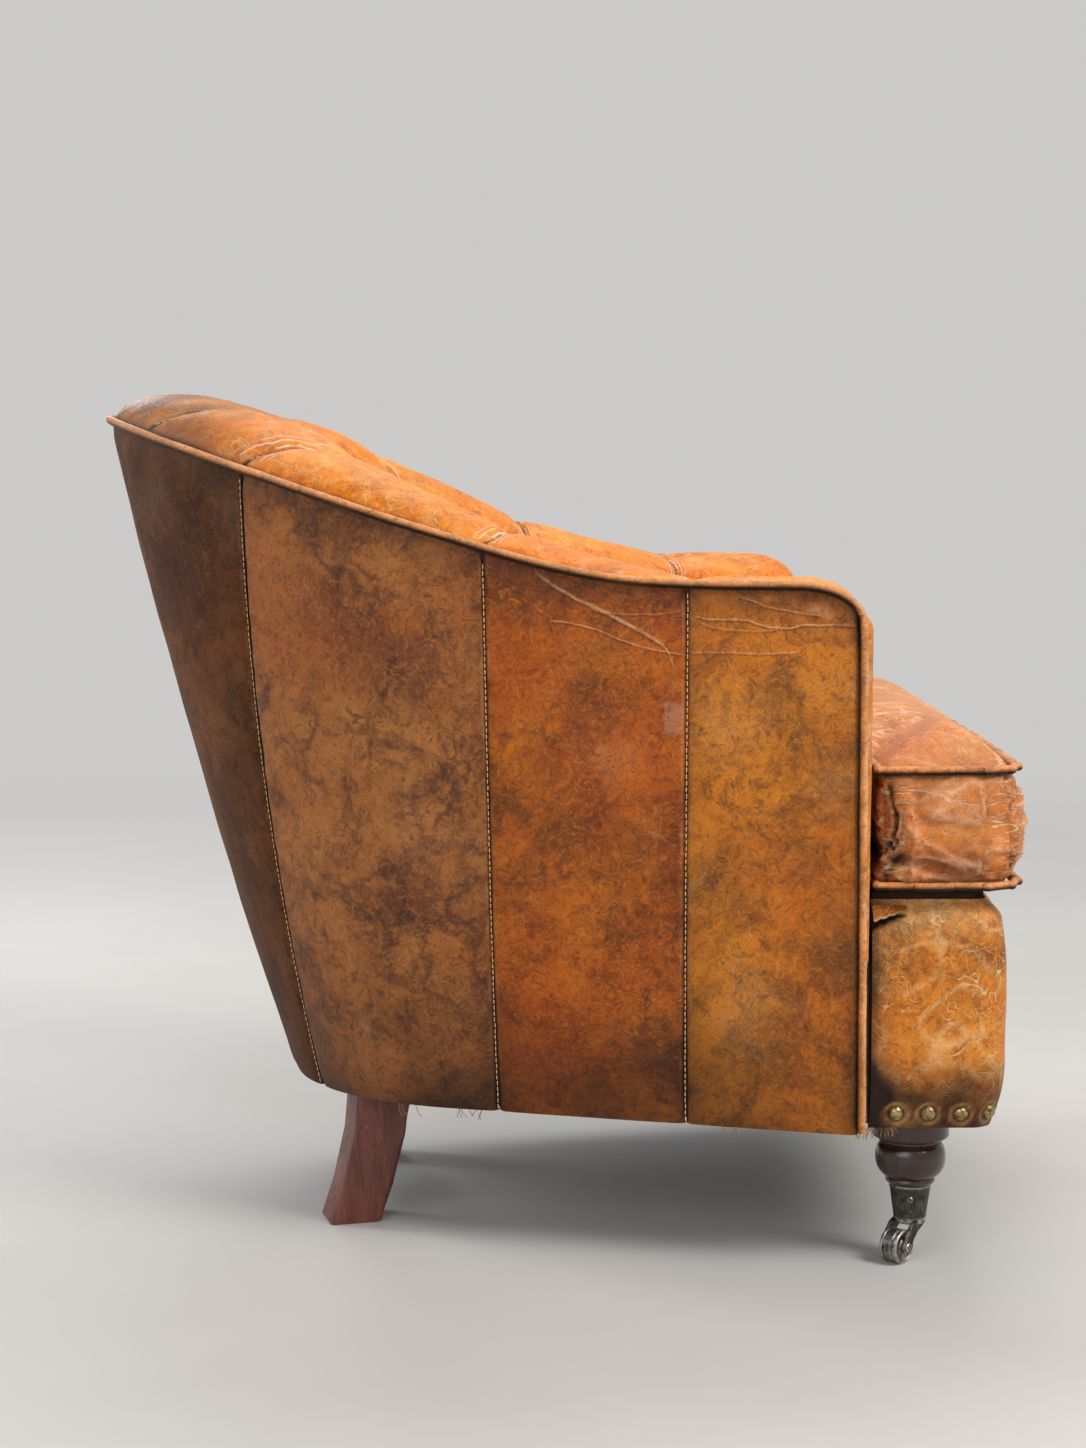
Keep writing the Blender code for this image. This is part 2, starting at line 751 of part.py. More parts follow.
def side_rail_section(share):
    low, high = RAIL_BOTTOM_Z, RAIL_TOP_Z
    inner = RAIL_INSET + RAIL_THICKNESS
    spots = ((low, RAIL_INSET), (high, RAIL_INSET), (high, inner), (low, inner))
    side = 1.0 if share >= 0.0 else -1.0
    found = [shell_at_height(abs(share), z, inset) for z, inset in spots]
    return mirrored(found, side)


def platform_half_width():
    return BORDER_HALF_WIDTH - BORDER_PADDING - SEAT_GAP


def platform_front_x():
    return BORDER_FRONT_X - BORDER_PADDING - SEAT_GAP


def platform_chamfer():
    """How much the platform's front corners are cut off to follow the border's round ones."""
    return BORDER_CORNER_RADIUS - BORDER_PADDING + PLATFORM_CORNER_CLEARANCE


def seat_rails():
    joint = SHOULDER_SHARE
    end = joint - RAIL_JOINT_SHARE
    board_along("back_seat_rail", [side_rail_section(s) for s in even_steps(-end, end, 22)])
    outer_y = platform_half_width()
    inner_y = outer_y - RAIL_THICKNESS
    low, high = RAIL_BOTTOM_Z, RAIL_TOP_Z
    front_back_x = platform_front_x() - RAIL_THICKNESS
    for side in SIDES:
        shares = even_steps(joint + RAIL_JOINT_SHARE, SIDE_RAIL_END_SHARE, 6)
        stations = [side_rail_section(side * s) for s in shares]
        for x in (border_rear_x(), front_back_x - SEAT_GAP):
            corners = ((outer_y, low), (outer_y, high), (inner_y, high), (inner_y, low))
            stations.append([Vector((x, side * y, z)) for y, z in corners])
        board_along(f"side_seat_rail_{side_name(side)}", stations)
    stations = []
    chamfer = platform_chamfer()
    half = outer_y - chamfer
    for y in [-outer_y] + even_steps(-half, half, 8) + [outer_y]:
        front_x = platform_front_x() - (chamfer if abs(y) > half + 0.001 else 0.0)
        corners = ((front_back_x, low), (front_back_x, high), (front_x, high), (front_x, low))
        stations.append([Vector((x, y, z)) for x, z in corners])
    board_along("front_seat_rail", stations)


def corner_blocks():
    outer_y = platform_half_width() - RAIL_THICKNESS - SEAT_GAP
    front_x = platform_front_x() - RAIL_THICKNESS - SEAT_GAP
    low, high = RAIL_BOTTOM_Z + SEAT_GAP, RAIL_BOTTOM_Z + BLOCK_HEIGHT
    rear_x = FRONT_LEG_X - LEG_CAP_RADIUS
    inner_y = FRONT_LEG_Y - LEG_CAP_RADIUS
    inset = RAIL_INSET + RAIL_THICKNESS + BLOCK_CLEARANCE
    for side in SIDES:
        near, far = sorted((side * inner_y, side * outer_y))
        name = f"front_corner_block_{side_name(side)}"
        block = board(name, (rear_x, near, low), (front_x, far, high), "hardwood")
        bore = cylinder_mesh(f"{name}_bore", TENON_RADIUS + SEAT_GAP, low - CUT_DEPTH, low + TENON_LENGTH)
        bore.transform(Matrix.Translation((FRONT_LEG_X, side * FRONT_LEG_Y, 0.0)))
        boolean(block, tool_object(f"{name}_bore", bore), "DIFFERENCE")
        outline = [shell_at_height(s, RAIL_BOTTOM_Z, inset) for s in even_steps(*REAR_BLOCK_SHARES, 7)]
        reach = REAR_BLOCK_REACH
        outline.append(Vector((REAR_LEG_X + reach, REAR_LEG_Y + reach * 0.7, 0.0)))
        outline.append(Vector((REAR_LEG_X + reach, REAR_LEG_Y - reach, 0.0)))
        outline.append(Vector((REAR_LEG_X - reach * 0.5, REAR_LEG_Y - reach, 0.0)))
        rings = [[Vector((p.x, p.y * side, z)) for p in outline] for z in (low, high)]
        loft(f"rear_corner_block_{side_name(side)}", rings, "hardwood", smooth=False)


def rail_station(share):
    wall = WallSection(share)
    low, high = wall.rail_bottom(), wall.rail_top()
    outer, inner = FRAME_OUTER_SHARE, FRAME_INNER_SHARE
    spots = ((low, outer), (high, outer), (high, inner), (low, inner))
    return [wall.place(wall.between(z, depth), z) for z, depth in spots]


def top_rails():
    """The crest rail and the two arm rails, at the stations of the channels that lie on them."""
    crest = []
    arms = {1: [], -1: []}
    for name, shares in pad_spans():
        for share in shares:
            if name.startswith("back"):
                crest.append(share)
            elif abs(share) <= corner_share() + 0.0001:
                arms[1 if share > 0 else -1].append(share)
    board_along("crest_rail", [rail_station(s) for s in sorted(crest)])
    for side in SIDES:
        stations = [rail_station(s) for s in sorted(arms[side], key=abs)]
        board_along(f"arm_top_rail_{side_name(side)}", stations)


def posts():
    for kind, shares in (("arm_post", ARM_POST_SHARES), ("back_post", BACK_POST_SHARES)):
        for side in SIDES:
            walls = [WallSection(side * s) for s in shares]
            rings = []
            for rise in even_steps(0.0, 1.0, 3):
                ring = []
                for wall, depths in zip(walls, ((0, 1), (1, 0))):
                    top = wall.rail_bottom() - SEAT_GAP
                    z = mix(RAIL_TOP_Z + SEAT_GAP, top, rise)
                    for d in depths:
                        depth = (FRAME_OUTER_SHARE, FRAME_INNER_SHARE)[d]
                        ring.append(wall.place(wall.between(z, depth), z))
                rings.append(ring)
            board_along(f"{kind}_{side_name(side)}", rings)


# Seat


def spring_base_z():
    return RAIL_TOP_Z + SEAT_GAP + SPRING_WIRE_RADIUS


def spring_front_x():
    return platform_front_x() - RAIL_THICKNESS * SPRING_SEAT_SHARE


def spring_rear_x(y):
    """Where the inner part of the back rail's top lies for a spring at y."""
    inset = RAIL_INSET + RAIL_THICKNESS * SPRING_SEAT_SHARE
    low, high = 0.0, SHOULDER_SHARE
    for _ in range(30):
        share = (low + high) / 2.0
        if shell_at_height(share, RAIL_TOP_Z, inset).y < abs(y):
            low = share
        else:
            high = share
    return shell_at_height(share, RAIL_TOP_Z, inset).x


def spring_lift(x, rear_x):
    """Height of the springs' arch. A row that starts further forward joins it from the rail."""
    middle_rear_x = spring_rear_x(SPRING_HALF_WIDTH)
    share = (x - middle_rear_x) / (spring_front_x() - middle_rear_x)
    joined = 1.0 if rear_x <= middle_rear_x else smoothstep(rear_x, rear_x + SPRING_JOIN_LENGTH, x)
    return SPRING_ARCH * 4.0 * share * (1.0 - share) * joined


def seat_springs():
    """Sinuous springs from the back rail to the front rail, arched under the deck."""
    for row in range(SPRING_ROWS):
        y = (row - (SPRING_ROWS - 1) / 2.0) * SPRING_SPACING
        rear_x = spring_rear_x(abs(y) + SPRING_HALF_WIDTH)
        steps = SPRING_WAVES * 4 + 1
        points = []
        for i in range(steps + 1):
            x = mix(rear_x, spring_front_x(), i / steps)
            sway = SPRING_HALF_WIDTH * math.sin(math.pi * (i - 0.5) / 2.0)
            points.append(Vector((x, y + sway, spring_base_z() + spring_lift(x, rear_x))))
        tube(f"seat_spring_{row + 1}", points, SPRING_WIRE_RADIUS, "spring_steel")


def deck_bottom(x):
    """Underside of the deck: on the front rail, then over the springs."""
    if x > spring_front_x() + 2 * SPRING_WIRE_RADIUS:
        return RAIL_TOP_Z + SEAT_GAP
    rear_x = spring_rear_x(SPRING_HALF_WIDTH)
    return spring_base_z() + SPRING_WIRE_RADIUS + 2 * SEAT_GAP + spring_lift(x, rear_x)


def seat_deck():
    spots = []
    for share in even_steps(DECK_REAR_SHARE, 1.0, 11):
        p = inner_inset(share, SEAT_LINE_Z, DECK_CLEARANCE)
        spots.append((p.x, p.y))
    step_x = border_rear_x() + 2 * DECK_STEP
    spots.append((step_x, spots[-1][1]))
    wide = platform_half_width() - SEAT_GAP
    front = platform_front_x() - SEAT_GAP
    chamfer = platform_chamfer()
    spring_x = spring_front_x() + 2 * SPRING_WIRE_RADIUS
    corner = front - chamfer
    over_rail = spring_x + SEAT_GAP
    for x in sorted((step_x + DECK_STEP, mix(step_x, corner, 0.5), corner, spring_x, over_rail, front)):
        spots.append((x, wide - max(0.0, x - corner)))
    rings = []
    for x, y in spots:
        low = deck_bottom(x)
        corners = ((-y, low), (y, low), (y, DECK_TOP_Z), (-y, DECK_TOP_Z))
        rings.append([Vector((x, across, z)) for across, z in corners])
    loft("seat_deck", rings, "burlap", smooth=False)


def cushion_edge_inset():
    return 2 * PIPING_RADIUS + 2 * SEAT_GAP + CUSHION_CLEARANCE


def cushion_notch_x():
    return SHELL_FRONT_X + ARM_NOSE + EAR_CLEARANCE + 2 * PIPING_RADIUS + 2 * SEAT_GAP


def cushion_front_x(y):
    return CUSHION_FRONT_X + CUSHION_FRONT_BOW * (1.0 - (y / CUSHION_EAR_HALF_WIDTH) ** 2)


def cushion_sheet():
    """The cushion's plan as a grid of points. Returns points and cells."""
    across = 8
    rows = 9
    rear_share = CUSHION_REAR_SHARE
    neck = 0.94
    inset = cushion_edge_inset()
    notch = cushion_notch_x()
    waist = INNER_FRONT_HALF_WIDTH - inset

    def edge(share):
        p = inner_inset(abs(share), SEAT_LINE_Z, inset)
        return Vector((p.x, p.y if share >= 0.0 else -p.y))

    def side_line(v):
        share = mix(rear_share, 1.0, min(1.0, v / neck))
        p = edge(share)
        if v > neck:
            p = p.lerp(Vector((notch, waist)), (v - neck) / (1.0 - neck))
        return p

    points = {}
    for i in range(rows + 1):
        v = i / rows
        left = side_line(v)
        right = Vector((left.x, -left.y))
        for j in range(across + 1):
            u = j / across
            rear = edge(mix(-rear_share, rear_share, u))
            front = Vector((notch, mix(-waist, waist, u)))
            corner_l, corner_r = edge(rear_share), edge(-rear_share)
            bilinear = corner_r.lerp(corner_l, u).lerp(
                Vector((notch, -waist)).lerp(Vector((notch, waist)), u), v
            )
            points[(i, j)] = rear.lerp(front, v) + right.lerp(left, u) - bilinear
    cells = [(i, j) for i in range(rows) for j in range(across)]
    radius = CUSHION_CORNER_RADIUS
    wide = CUSHION_EAR_HALF_WIDTH
    ear_lines = [mix(waist, wide - radius, 0.5), wide - radius, wide]
    lines = [-y for y in reversed(ear_lines)] + [mix(-waist, waist, j / across) for j in range(across + 1)]
    lines += ear_lines
    ears = len(ear_lines)
    front_rows = 4
    for k in range(front_rows + 1):
        for n, y in enumerate(lines):
            end = cushion_front_x(min(abs(y), wide - radius))
            x = mix(notch, end - radius, k / (front_rows - 1)) if k < front_rows else end
            spot = Vector((x, y))
            if k == front_rows and abs(y) > wide - 0.001:
                back = radius * (1.0 - math.sqrt(0.5))
                spot = Vector((end - back, math.copysign(wide - back, y)))
            points[(rows + k, n - ears)] = spot
            if k < front_rows:
                cells.append((rows + k, n - ears))
    cells = [c for c in cells if (c[0] + 1, c[1] + 1) in points]
    return points, cells


def outline_of(points, cells):
    """The boundary of the grid, in order, as keys."""
    count = {}
    for i, j in cells:
        loop = [(i, j), (i, j + 1), (i + 1, j + 1), (i + 1, j)]
        for a, b in zip(loop, loop[1:] + loop[:1]):
            key = frozenset((a, b))
            count.setdefault(key, []).append((a, b))
    follow = {pair[0][0]: pair[0][1] for pair in count.values() if len(pair) == 1}
    start = min(follow)
    loop = [start]
    while follow[loop[-1]] != start:
        loop.append(follow[loop[-1]])
    return loop


def outward_normals(spots):
    """Unit normals that point out of a closed outline of 2D points."""
    area = sum(a.x * b.y - b.x * a.y for a, b in zip(spots, spots[1:] + spots[:1]))
    turn = 1.0 if area > 0 else -1.0
    found = []
    for n, p in enumerate(spots):
        before = (p - spots[n - 1]).normalized()
        after = (spots[(n + 1) % len(spots)] - p).normalized()
        along = before + after
        normal = Vector((along.y, -along.x)).normalized() * turn
        lean = max(0.5, normal.dot(Vector((after.y, -after.x)) * turn))
        found.append(normal / lean)
    return found


def nearest(p, segments):
    best = 1.0
    for a, b in segments:
        along = b - a
        share = min(1.0, max(0.0, (p - a).dot(along) / along.length_squared))
        best = min(best, (p - a - along * share).length)
    return best


def bulge_share(spot):
    """The cushion's sides bulge where no arm stands beside them."""
    return smoothstep(cushion_notch_x(), cushion_notch_x() + CUSHION_BULGE_RUN, spot.x)


def seat_cushion():
    points, cells = cushion_sheet()
    loop = outline_of(points, cells)
    spots = [points[k] for k in loop]
    normals = outward_normals(spots)
    segments = list(zip(spots, spots[1:] + spots[:1]))
    low = DECK_TOP_Z + SEAT_GAP
    high = low + CUSHION_THICKNESS
    bm = bmesh.new()
    top, bottom = {}, {}
    used = {(i + a, j + b) for i, j in cells for a in (0, 1) for b in (0, 1)}
    for key in used:
        p = points[key]
        share = min(1.0, nearest(p, segments) / CROWN_REACH)
        rise = CUSHION_CROWN * (1.0 - (1.0 - share) ** 3)
        top[key] = bm.verts.new((p.x, p.y, high + rise))
        bottom[key] = bm.verts.new((p.x, p.y, low))
    for i, j in cells:
        ring = [(i, j), (i, j + 1), (i + 1, j + 1), (i + 1, j)]
        bm.faces.new([top[k] for k in ring])
        bm.faces.new([bottom[k] for k in reversed(ring)])
    rows = [[bottom[k] for k in loop]]
    side_rows = 5
    for r in range(1, side_rows):
        t = r / side_rows
        row = []
        for p, n in zip(spots, normals):
            out = n * (CUSHION_SIDE_BULGE * bulge_share(p) * math.sin(math.pi * t))
            row.append(bm.verts.new((p.x + out.x, p.y + out.y, mix(low, high, t))))
        rows.append(row)
    rows.append([top[k] for k in loop])
    for a, b in zip(rows, rows[1:]):
        for n in range(len(loop)):
            m = (n + 1) % len(loop)
            bm.faces.new((a[n], a[m], b[m], b[n]))
    add_object("seat_cushion", mesh_from(bm, "seat_cushion"), "leather_inner")
    slope = math.atan(CUSHION_SIDE_BULGE * math.pi / CUSHION_THICKNESS)
    reach = PIPING_RADIUS + SEAT_GAP
    out_high = reach / math.cos(slope)
    out_low = (reach + PIPING_RADIUS * math.sin(slope)) / math.cos(slope)
    for name, z, out in (("top", high, out_high), ("bottom", low + PIPING_RADIUS, out_low)):
        line = []
        for p, n in zip(spots, normals):
            away = mix(reach, out, bulge_share(p))
            line.append(Vector((p.x + n.x * away, p.y + n.y * away, z)))
        tube(f"cushion_piping_{name}", line, PIPING_RADIUS, "piping", cyclic=True)


# Front border and its nails


def border_rear_x():
    return SHELL_FRONT_X + ARM_NOSE + BORDER_FACING_GAP


def border_bow(y):
    """How far the border's front stands ahead of its corners at y."""
    inside = min(1.0, abs(y) / (BORDER_HALF_WIDTH - BORDER_CORNER_RADIUS))
    return BORDER_FRONT_BOW * (1.0 - inside**2)


def border_path():
    """The border's plan from the right arm round the front to the left arm, with outward normals."""
    radius = BORDER_CORNER_RADIUS
    side_y = BORDER_HALF_WIDTH
    straight = BORDER_FRONT_X - radius
    half = []
    for y in even_steps(0.0, side_y - radius, 5):
        half.append(Vector((BORDER_FRONT_X, y)))
    for a in (30.0, 60.0, 90.0):
        angle = math.radians(a)
        half.append(Vector((straight + radius * math.cos(angle), side_y - radius * (1.0 - math.sin(angle)))))
    for x in even_steps(straight, border_rear_x(), 2)[1:]:
        half.append(Vector((x, side_y)))
    for p in half:
        p.x += border_bow(p.y)
    path = [Vector((p.x, -p.y)) for p in reversed(half[1:])] + half
    normals = []
    for n, p in enumerate(path):
        along = path[min(n + 1, len(path) - 1)] - path[max(n - 1, 0)]
        normals.append(Vector((along.y, -along.x)).normalized())
    return path, normals


def border_offset(share):
    """How far the padding lies behind its fullest line, from the bottom (0) to the top (1)."""
    low, high = BORDER_FULLEST
    if share < low:
        return BORDER_TUCK * (1.0 - share / low) ** 2
    if share > high:
        return BORDER_TOP_PULL * ((share - high) / (1.0 - high)) ** 2
    return 0.0


def front_border():
    path, normals = border_path()
    rings = []
    shares = (0.0, 0.05, 0.12, 0.21, 0.32, 0.55, 0.80, 1.0)
    for p, n in zip(path, normals):
        ring = []
        for share in shares:
            spot = p - n * border_offset(share)
            ring.append(Vector((spot.x, spot.y, mix(BORDER_BOTTOM_Z, BORDER_TOP_Z, share))))
        back = p - n * BORDER_PADDING
        back.x -= border_bow(p.y)
        ring.append(Vector((back.x, back.y, BORDER_TOP_Z)))
        ring.append(Vector((back.x, back.y, BORDER_BOTTOM_Z)))
        rings.append(ring)
    border = loft("front_border", rings, "leather")
    boolean(border, tool_object("border_nails", border_nail_mesh()), "UNION")


def nail_frame(travel, path, lengths):
    """The stretch of the border's line that holds a nail, and how far along it the nail is."""
    n = 0
    while n < len(path) - 2 and lengths[n + 1] < travel:
        n += 1
    share = (travel - lengths[n]) / (lengths[n + 1] - lengths[n])
    return n, share


def border_nail_mesh():
    """A row of domed nail heads, set into the leather near the border's lower edge."""
    path, normals = border_path()
    share = (NAIL_Z - BORDER_BOTTOM_Z) / (BORDER_TOP_Z - BORDER_BOTTOM_Z)
    step = 0.01
    slope = (border_offset(share - step) - border_offset(share + step)) / (
        2 * step * (BORDER_TOP_Z - BORDER_BOTTOM_Z)
    )
    line = [p - n * border_offset(share) for p, n in zip(path, normals)]
    lengths = [0.0]
    for a, b in zip(line, line[1:]):
        lengths.append(lengths[-1] + (b - a).length)
    total = lengths[-1]
    count = int((total - 2 * NAIL_END_ROOM) // NAIL_SPACING)
    first = (total - count * NAIL_SPACING) / 2.0
    bm = bmesh.new()
    for k in range(count + 1):
        n, part = nail_frame(first + k * NAIL_SPACING, line, lengths)
        spot = line[n].lerp(line[n + 1], part)
        out = normals[n].lerp(normals[n + 1], part).normalized()
        normal = Vector((out.x, out.y, -slope)).normalized()
        add_nail(bm, Vector((spot.x, spot.y, NAIL_Z)) - normal * NAIL_SUNK, normal)
    return mesh_from(bm, "border_nails")


def add_nail(bm, centre, normal):
    """A domed head with a flat back."""
    turn = normal.to_track_quat("Z", "Y").to_matrix()
    sides = 8
    rows = []
    for radius_share, height_share in ((1.0, 0.0), (0.78, 0.68)):
        row = []
        for i in range(sides):
            angle = 2.0 * math.pi * i / sides
            local = Vector((math.cos(angle), math.sin(angle), 0.0)) * (NAIL_RADIUS * radius_share)
            local.z = NAIL_DOME * height_share
            row.append(bm.verts.new(centre + turn @ local))
        rows.append(row)
    apex = bm.verts.new(centre + turn @ Vector((0.0, 0.0, NAIL_DOME)))
    bm.faces.new(rows[0][::-1])
    for low, high in zip(rows, rows[1:]):
        for i in range(sides):
            j = (i + 1) % sides
            bm.faces.new((low[i], low[j], high[j], high[i]))
    for i in range(sides):
        bm.faces.new((rows[-1][i], rows[-1][(i + 1) % sides], apex))


# Legs


def leg_top_z():
    return RAIL_BOTTOM_Z - SEAT_GAP


def cup_radius(z):
    """Outer radius of the tapered caster cup at height z."""
    return mix(CUP_BOTTOM_RADIUS, CUP_TOP_RADIUS, (z - CUP_BOTTOM_Z) / (CUP_TOP_Z - CUP_BOTTOM_Z))


def stem_head_bottom():
    return CUP_BOTTOM_Z + CUP_FLOOR + RUNNING_GAP


def front_legs():
    top = leg_top_z()
    foot = CUP_BOTTOM_Z + CUP_FLOOR + SEAT_GAP
    fit = CUP_WALL + SEAT_GAP
    bore = STEM_HEAD_RADIUS + RUNNING_GAP
    bore_top = stem_head_bottom() + STEM_HEAD_HEIGHT + RUNNING_GAP
    profile = [
        (0.0, RAIL_BOTTOM_Z + TENON_LENGTH - TENON_CLEARANCE),
        (TENON_RADIUS, RAIL_BOTTOM_Z + TENON_LENGTH - TENON_CLEARANCE),
        (TENON_RADIUS, top),
        (LEG_CAP_RADIUS, top),
        (LEG_CAP_RADIUS, LEG_CAP_BOTTOM_Z + LEG_CAP_CHAMFER),
        (LEG_CAP_RADIUS - LEG_CAP_CHAMFER, LEG_CAP_BOTTOM_Z),
        (LEG_NECK_RADIUS, LEG_CAP_BOTTOM_Z - LEG_COVE_TOP),
        (LEG_NECK_RADIUS - LEG_COVE_DEPTH, LEG_CAP_BOTTOM_Z - LEG_COVE_BOTTOM),
    ]
    for a in (40, 75):
        share = math.sin(math.radians(a))
        rise = (LEG_CAP_BOTTOM_Z - LEG_COVE_BOTTOM - LEG_BALL_Z) * (1.0 - share)
        profile.append((mix(LEG_NECK_RADIUS - LEG_COVE_DEPTH, LEG_BALL_RADIUS, share), LEG_BALL_Z + rise))
    shoulder = CUP_TOP_Z + SEAT_GAP
    waist = CUP_TOP_RADIUS + LEG_COVE_DEPTH
    for a in (14, 36, 58, 76):
        radius = mix(waist, LEG_BALL_RADIUS, math.cos(math.radians(a)))
        depth = (LEG_BALL_Z - shoulder - LEG_BALL_OVER_BEAD) * math.sin(math.radians(a))
        profile.append((radius, LEG_BALL_Z - depth))
    profile += [
        (waist + LEG_BEAD_REACH, shoulder + LEG_BEAD_HEIGHT),
        (waist + LEG_BEAD_REACH, shoulder + LEG_BEAD_LOW),
        (waist, shoulder),
        (cup_radius(shoulder) - fit, shoulder),
        (cup_radius(foot) - fit, foot),
        (bore, foot),
        (bore, bore_top),
        (0.0, bore_top),
    ]
    for side in SIDES:
        leg = turned(f"front_leg_{side_name(side)}", profile, "mahogany", steps=16)
        leg.location = (FRONT_LEG_X, side * FRONT_LEG_Y, 0.0)


def rear_leg_ring(z, side, spare=0.0):
    share = 1.0 - z / leg_top_z()
    sweep = REAR_LEG_SWEEP * share**1.8
    turn = math.radians(REAR_LEG_TURN_DEG)
    half = mix(REAR_LEG_WIDTH, REAR_LEG_FOOT_WIDTH, share) / 2.0 + spare
    cut = half - REAR_LEG_ARRIS
    corners = ((cut, half), (half, cut), (half, -cut), (cut, -half))
    corners += ((-cut, -half), (-half, -cut), (-half, cut), (-cut, half))
    ring = []
    for a, b in corners:
        along = a - sweep
        x = REAR_LEG_X + along * math.cos(turn) + b * math.sin(turn)
        y = REAR_LEG_Y - along * math.sin(turn) + b * math.cos(turn)
        ring.append(Vector((x, y * side, z)))
    return ring


def rear_legs():
    for side in SIDES:
        rings = [rear_leg_ring(leg_top_z() * s, side) for s in (0.0, 0.12, 0.26, 0.42, 0.62, 1.0)]
        loft(f"rear_leg_{side_name(side)}", rings, "mahogany")


# Casters


def caster_cups():
    floor = CUP_BOTTOM_Z + CUP_FLOOR
    hole = STEM_RADIUS + RUNNING_GAP
    profile = [
        (cup_radius(CUP_TOP_Z) - CUP_WALL, CUP_TOP_Z),
        (CUP_TOP_RADIUS, CUP_TOP_Z),
        (CUP_BOTTOM_RADIUS, CUP_BOTTOM_Z),
        (hole, CUP_BOTTOM_Z),
        (hole, floor),
        (cup_radius(floor) - CUP_WALL, floor),
    ]
    for side in SIDES:
        cup = ring_turned(f"caster_cup_{side_name(side)}", profile, "caster_iron", steps=20)
        cup.location = (FRONT_LEG_X, side * FRONT_LEG_Y, 0.0)


def ring_turned(name, profile, material, steps=24):
    """A turned piece with a hole through it: the profile closes on itself."""
    made = turned(name, profile, material, steps)
    data = made.data
    data.clear_geometry()
    points = [(r, 0.0, z) for r, z in profile]
    edges = [(i, (i + 1) % len(points)) for i in range(len(points))]
    data.from_pydata(points, edges, [])
    return made


def cheek_mesh(name):
    """One cheek of the horn, in its own plane: x trails behind the swivel and z is up."""
    plate_top = CUP_BOTTOM_Z - RUNNING_GAP - CHEEK_SUNK
    centre = Vector((WHEEL_TRAIL, WHEEL_RADIUS))
    outline = [Vector((CHEEK_PLATE_SPAN[0], plate_top))]
    outline += [Vector(p) for p in CHEEK_FRONT_EDGE]
    for a in (200, 235, 270, 305, 340, 15, 50):
        angle = math.radians(a)
        outline.append(centre + Vector((math.cos(angle), math.sin(angle))) * CHEEK_BOSS_RADIUS)
    outline += [Vector(p) for p in CHEEK_REAR_EDGE]
    outline.append(Vector((CHEEK_PLATE_SPAN[1], plate_top)))
    half = CHEEK_THICKNESS / 2.0
    rings = [[(p.x, y, p.y) for p in outline] for y in (-half, half)]
    return loft_mesh(name, rings)


def caster_horns():
    """The swivelling part: a stem held in the cup, a plate, and two cheeks that carry the axle."""
    plate_top = CUP_BOTTOM_Z - RUNNING_GAP
    plate_low = plate_top - HORN_PLATE_THICKNESS
    head = stem_head_bottom()
    profile = [
        (0.0, head + STEM_HEAD_HEIGHT),
        (STEM_HEAD_RADIUS, head + STEM_HEAD_HEIGHT),
        (STEM_HEAD_RADIUS, head),
        (STEM_RADIUS, head),
        (STEM_RADIUS, plate_top),
        (HORN_PLATE_RADIUS, plate_top),
        (HORN_PLATE_RADIUS, plate_low),
        (0.0, plate_low),
    ]
    offset = cheek_offset()
    for side in SIDES:
        label = side_name(side)
        turn = math.radians(side * CASTER_TURN_DEG)
        place = Matrix.Translation((FRONT_LEG_X, side * FRONT_LEG_Y, 0.0)) @ Matrix.Rotation(turn, 4, "Z")
        horn = turned(f"caster_horn_{label}", profile, "caster_iron", steps=16)
        horn.matrix_world = place
        for number, across in enumerate((-offset, offset)):
            name = f"horn_cheek_{label}_{number}"
            cheek = tool_object(name, cheek_mesh(name))
            cheek.matrix_world = place @ Matrix.Translation((0.0, across, 0.0))
            boolean(horn, cheek, "UNION")
        reach = offset + CUT_DEPTH
        hole = cylinder_mesh(f"axle_hole_{label}", AXLE_RADIUS + SEAT_GAP, -reach, reach, 14)
        drill = tool_object(f"axle_hole_{label}", hole)
        drill.matrix_world = place @ axle_placement()
        boolean(horn, drill, "DIFFERENCE")


def cheek_offset():
    return WHEEL_WIDTH / 2.0 + WHEEL_SIDE_GAP + CHEEK_THICKNESS / 2.0


def axle_placement():
    """Turns a piece made about +Z to lie along the axle, in the horn's own frame."""
    spot = Matrix.Translation((WHEEL_TRAIL, 0.0, WHEEL_RADIUS))
    return spot @ Matrix.Rotation(math.radians(90.0), 4, "X")


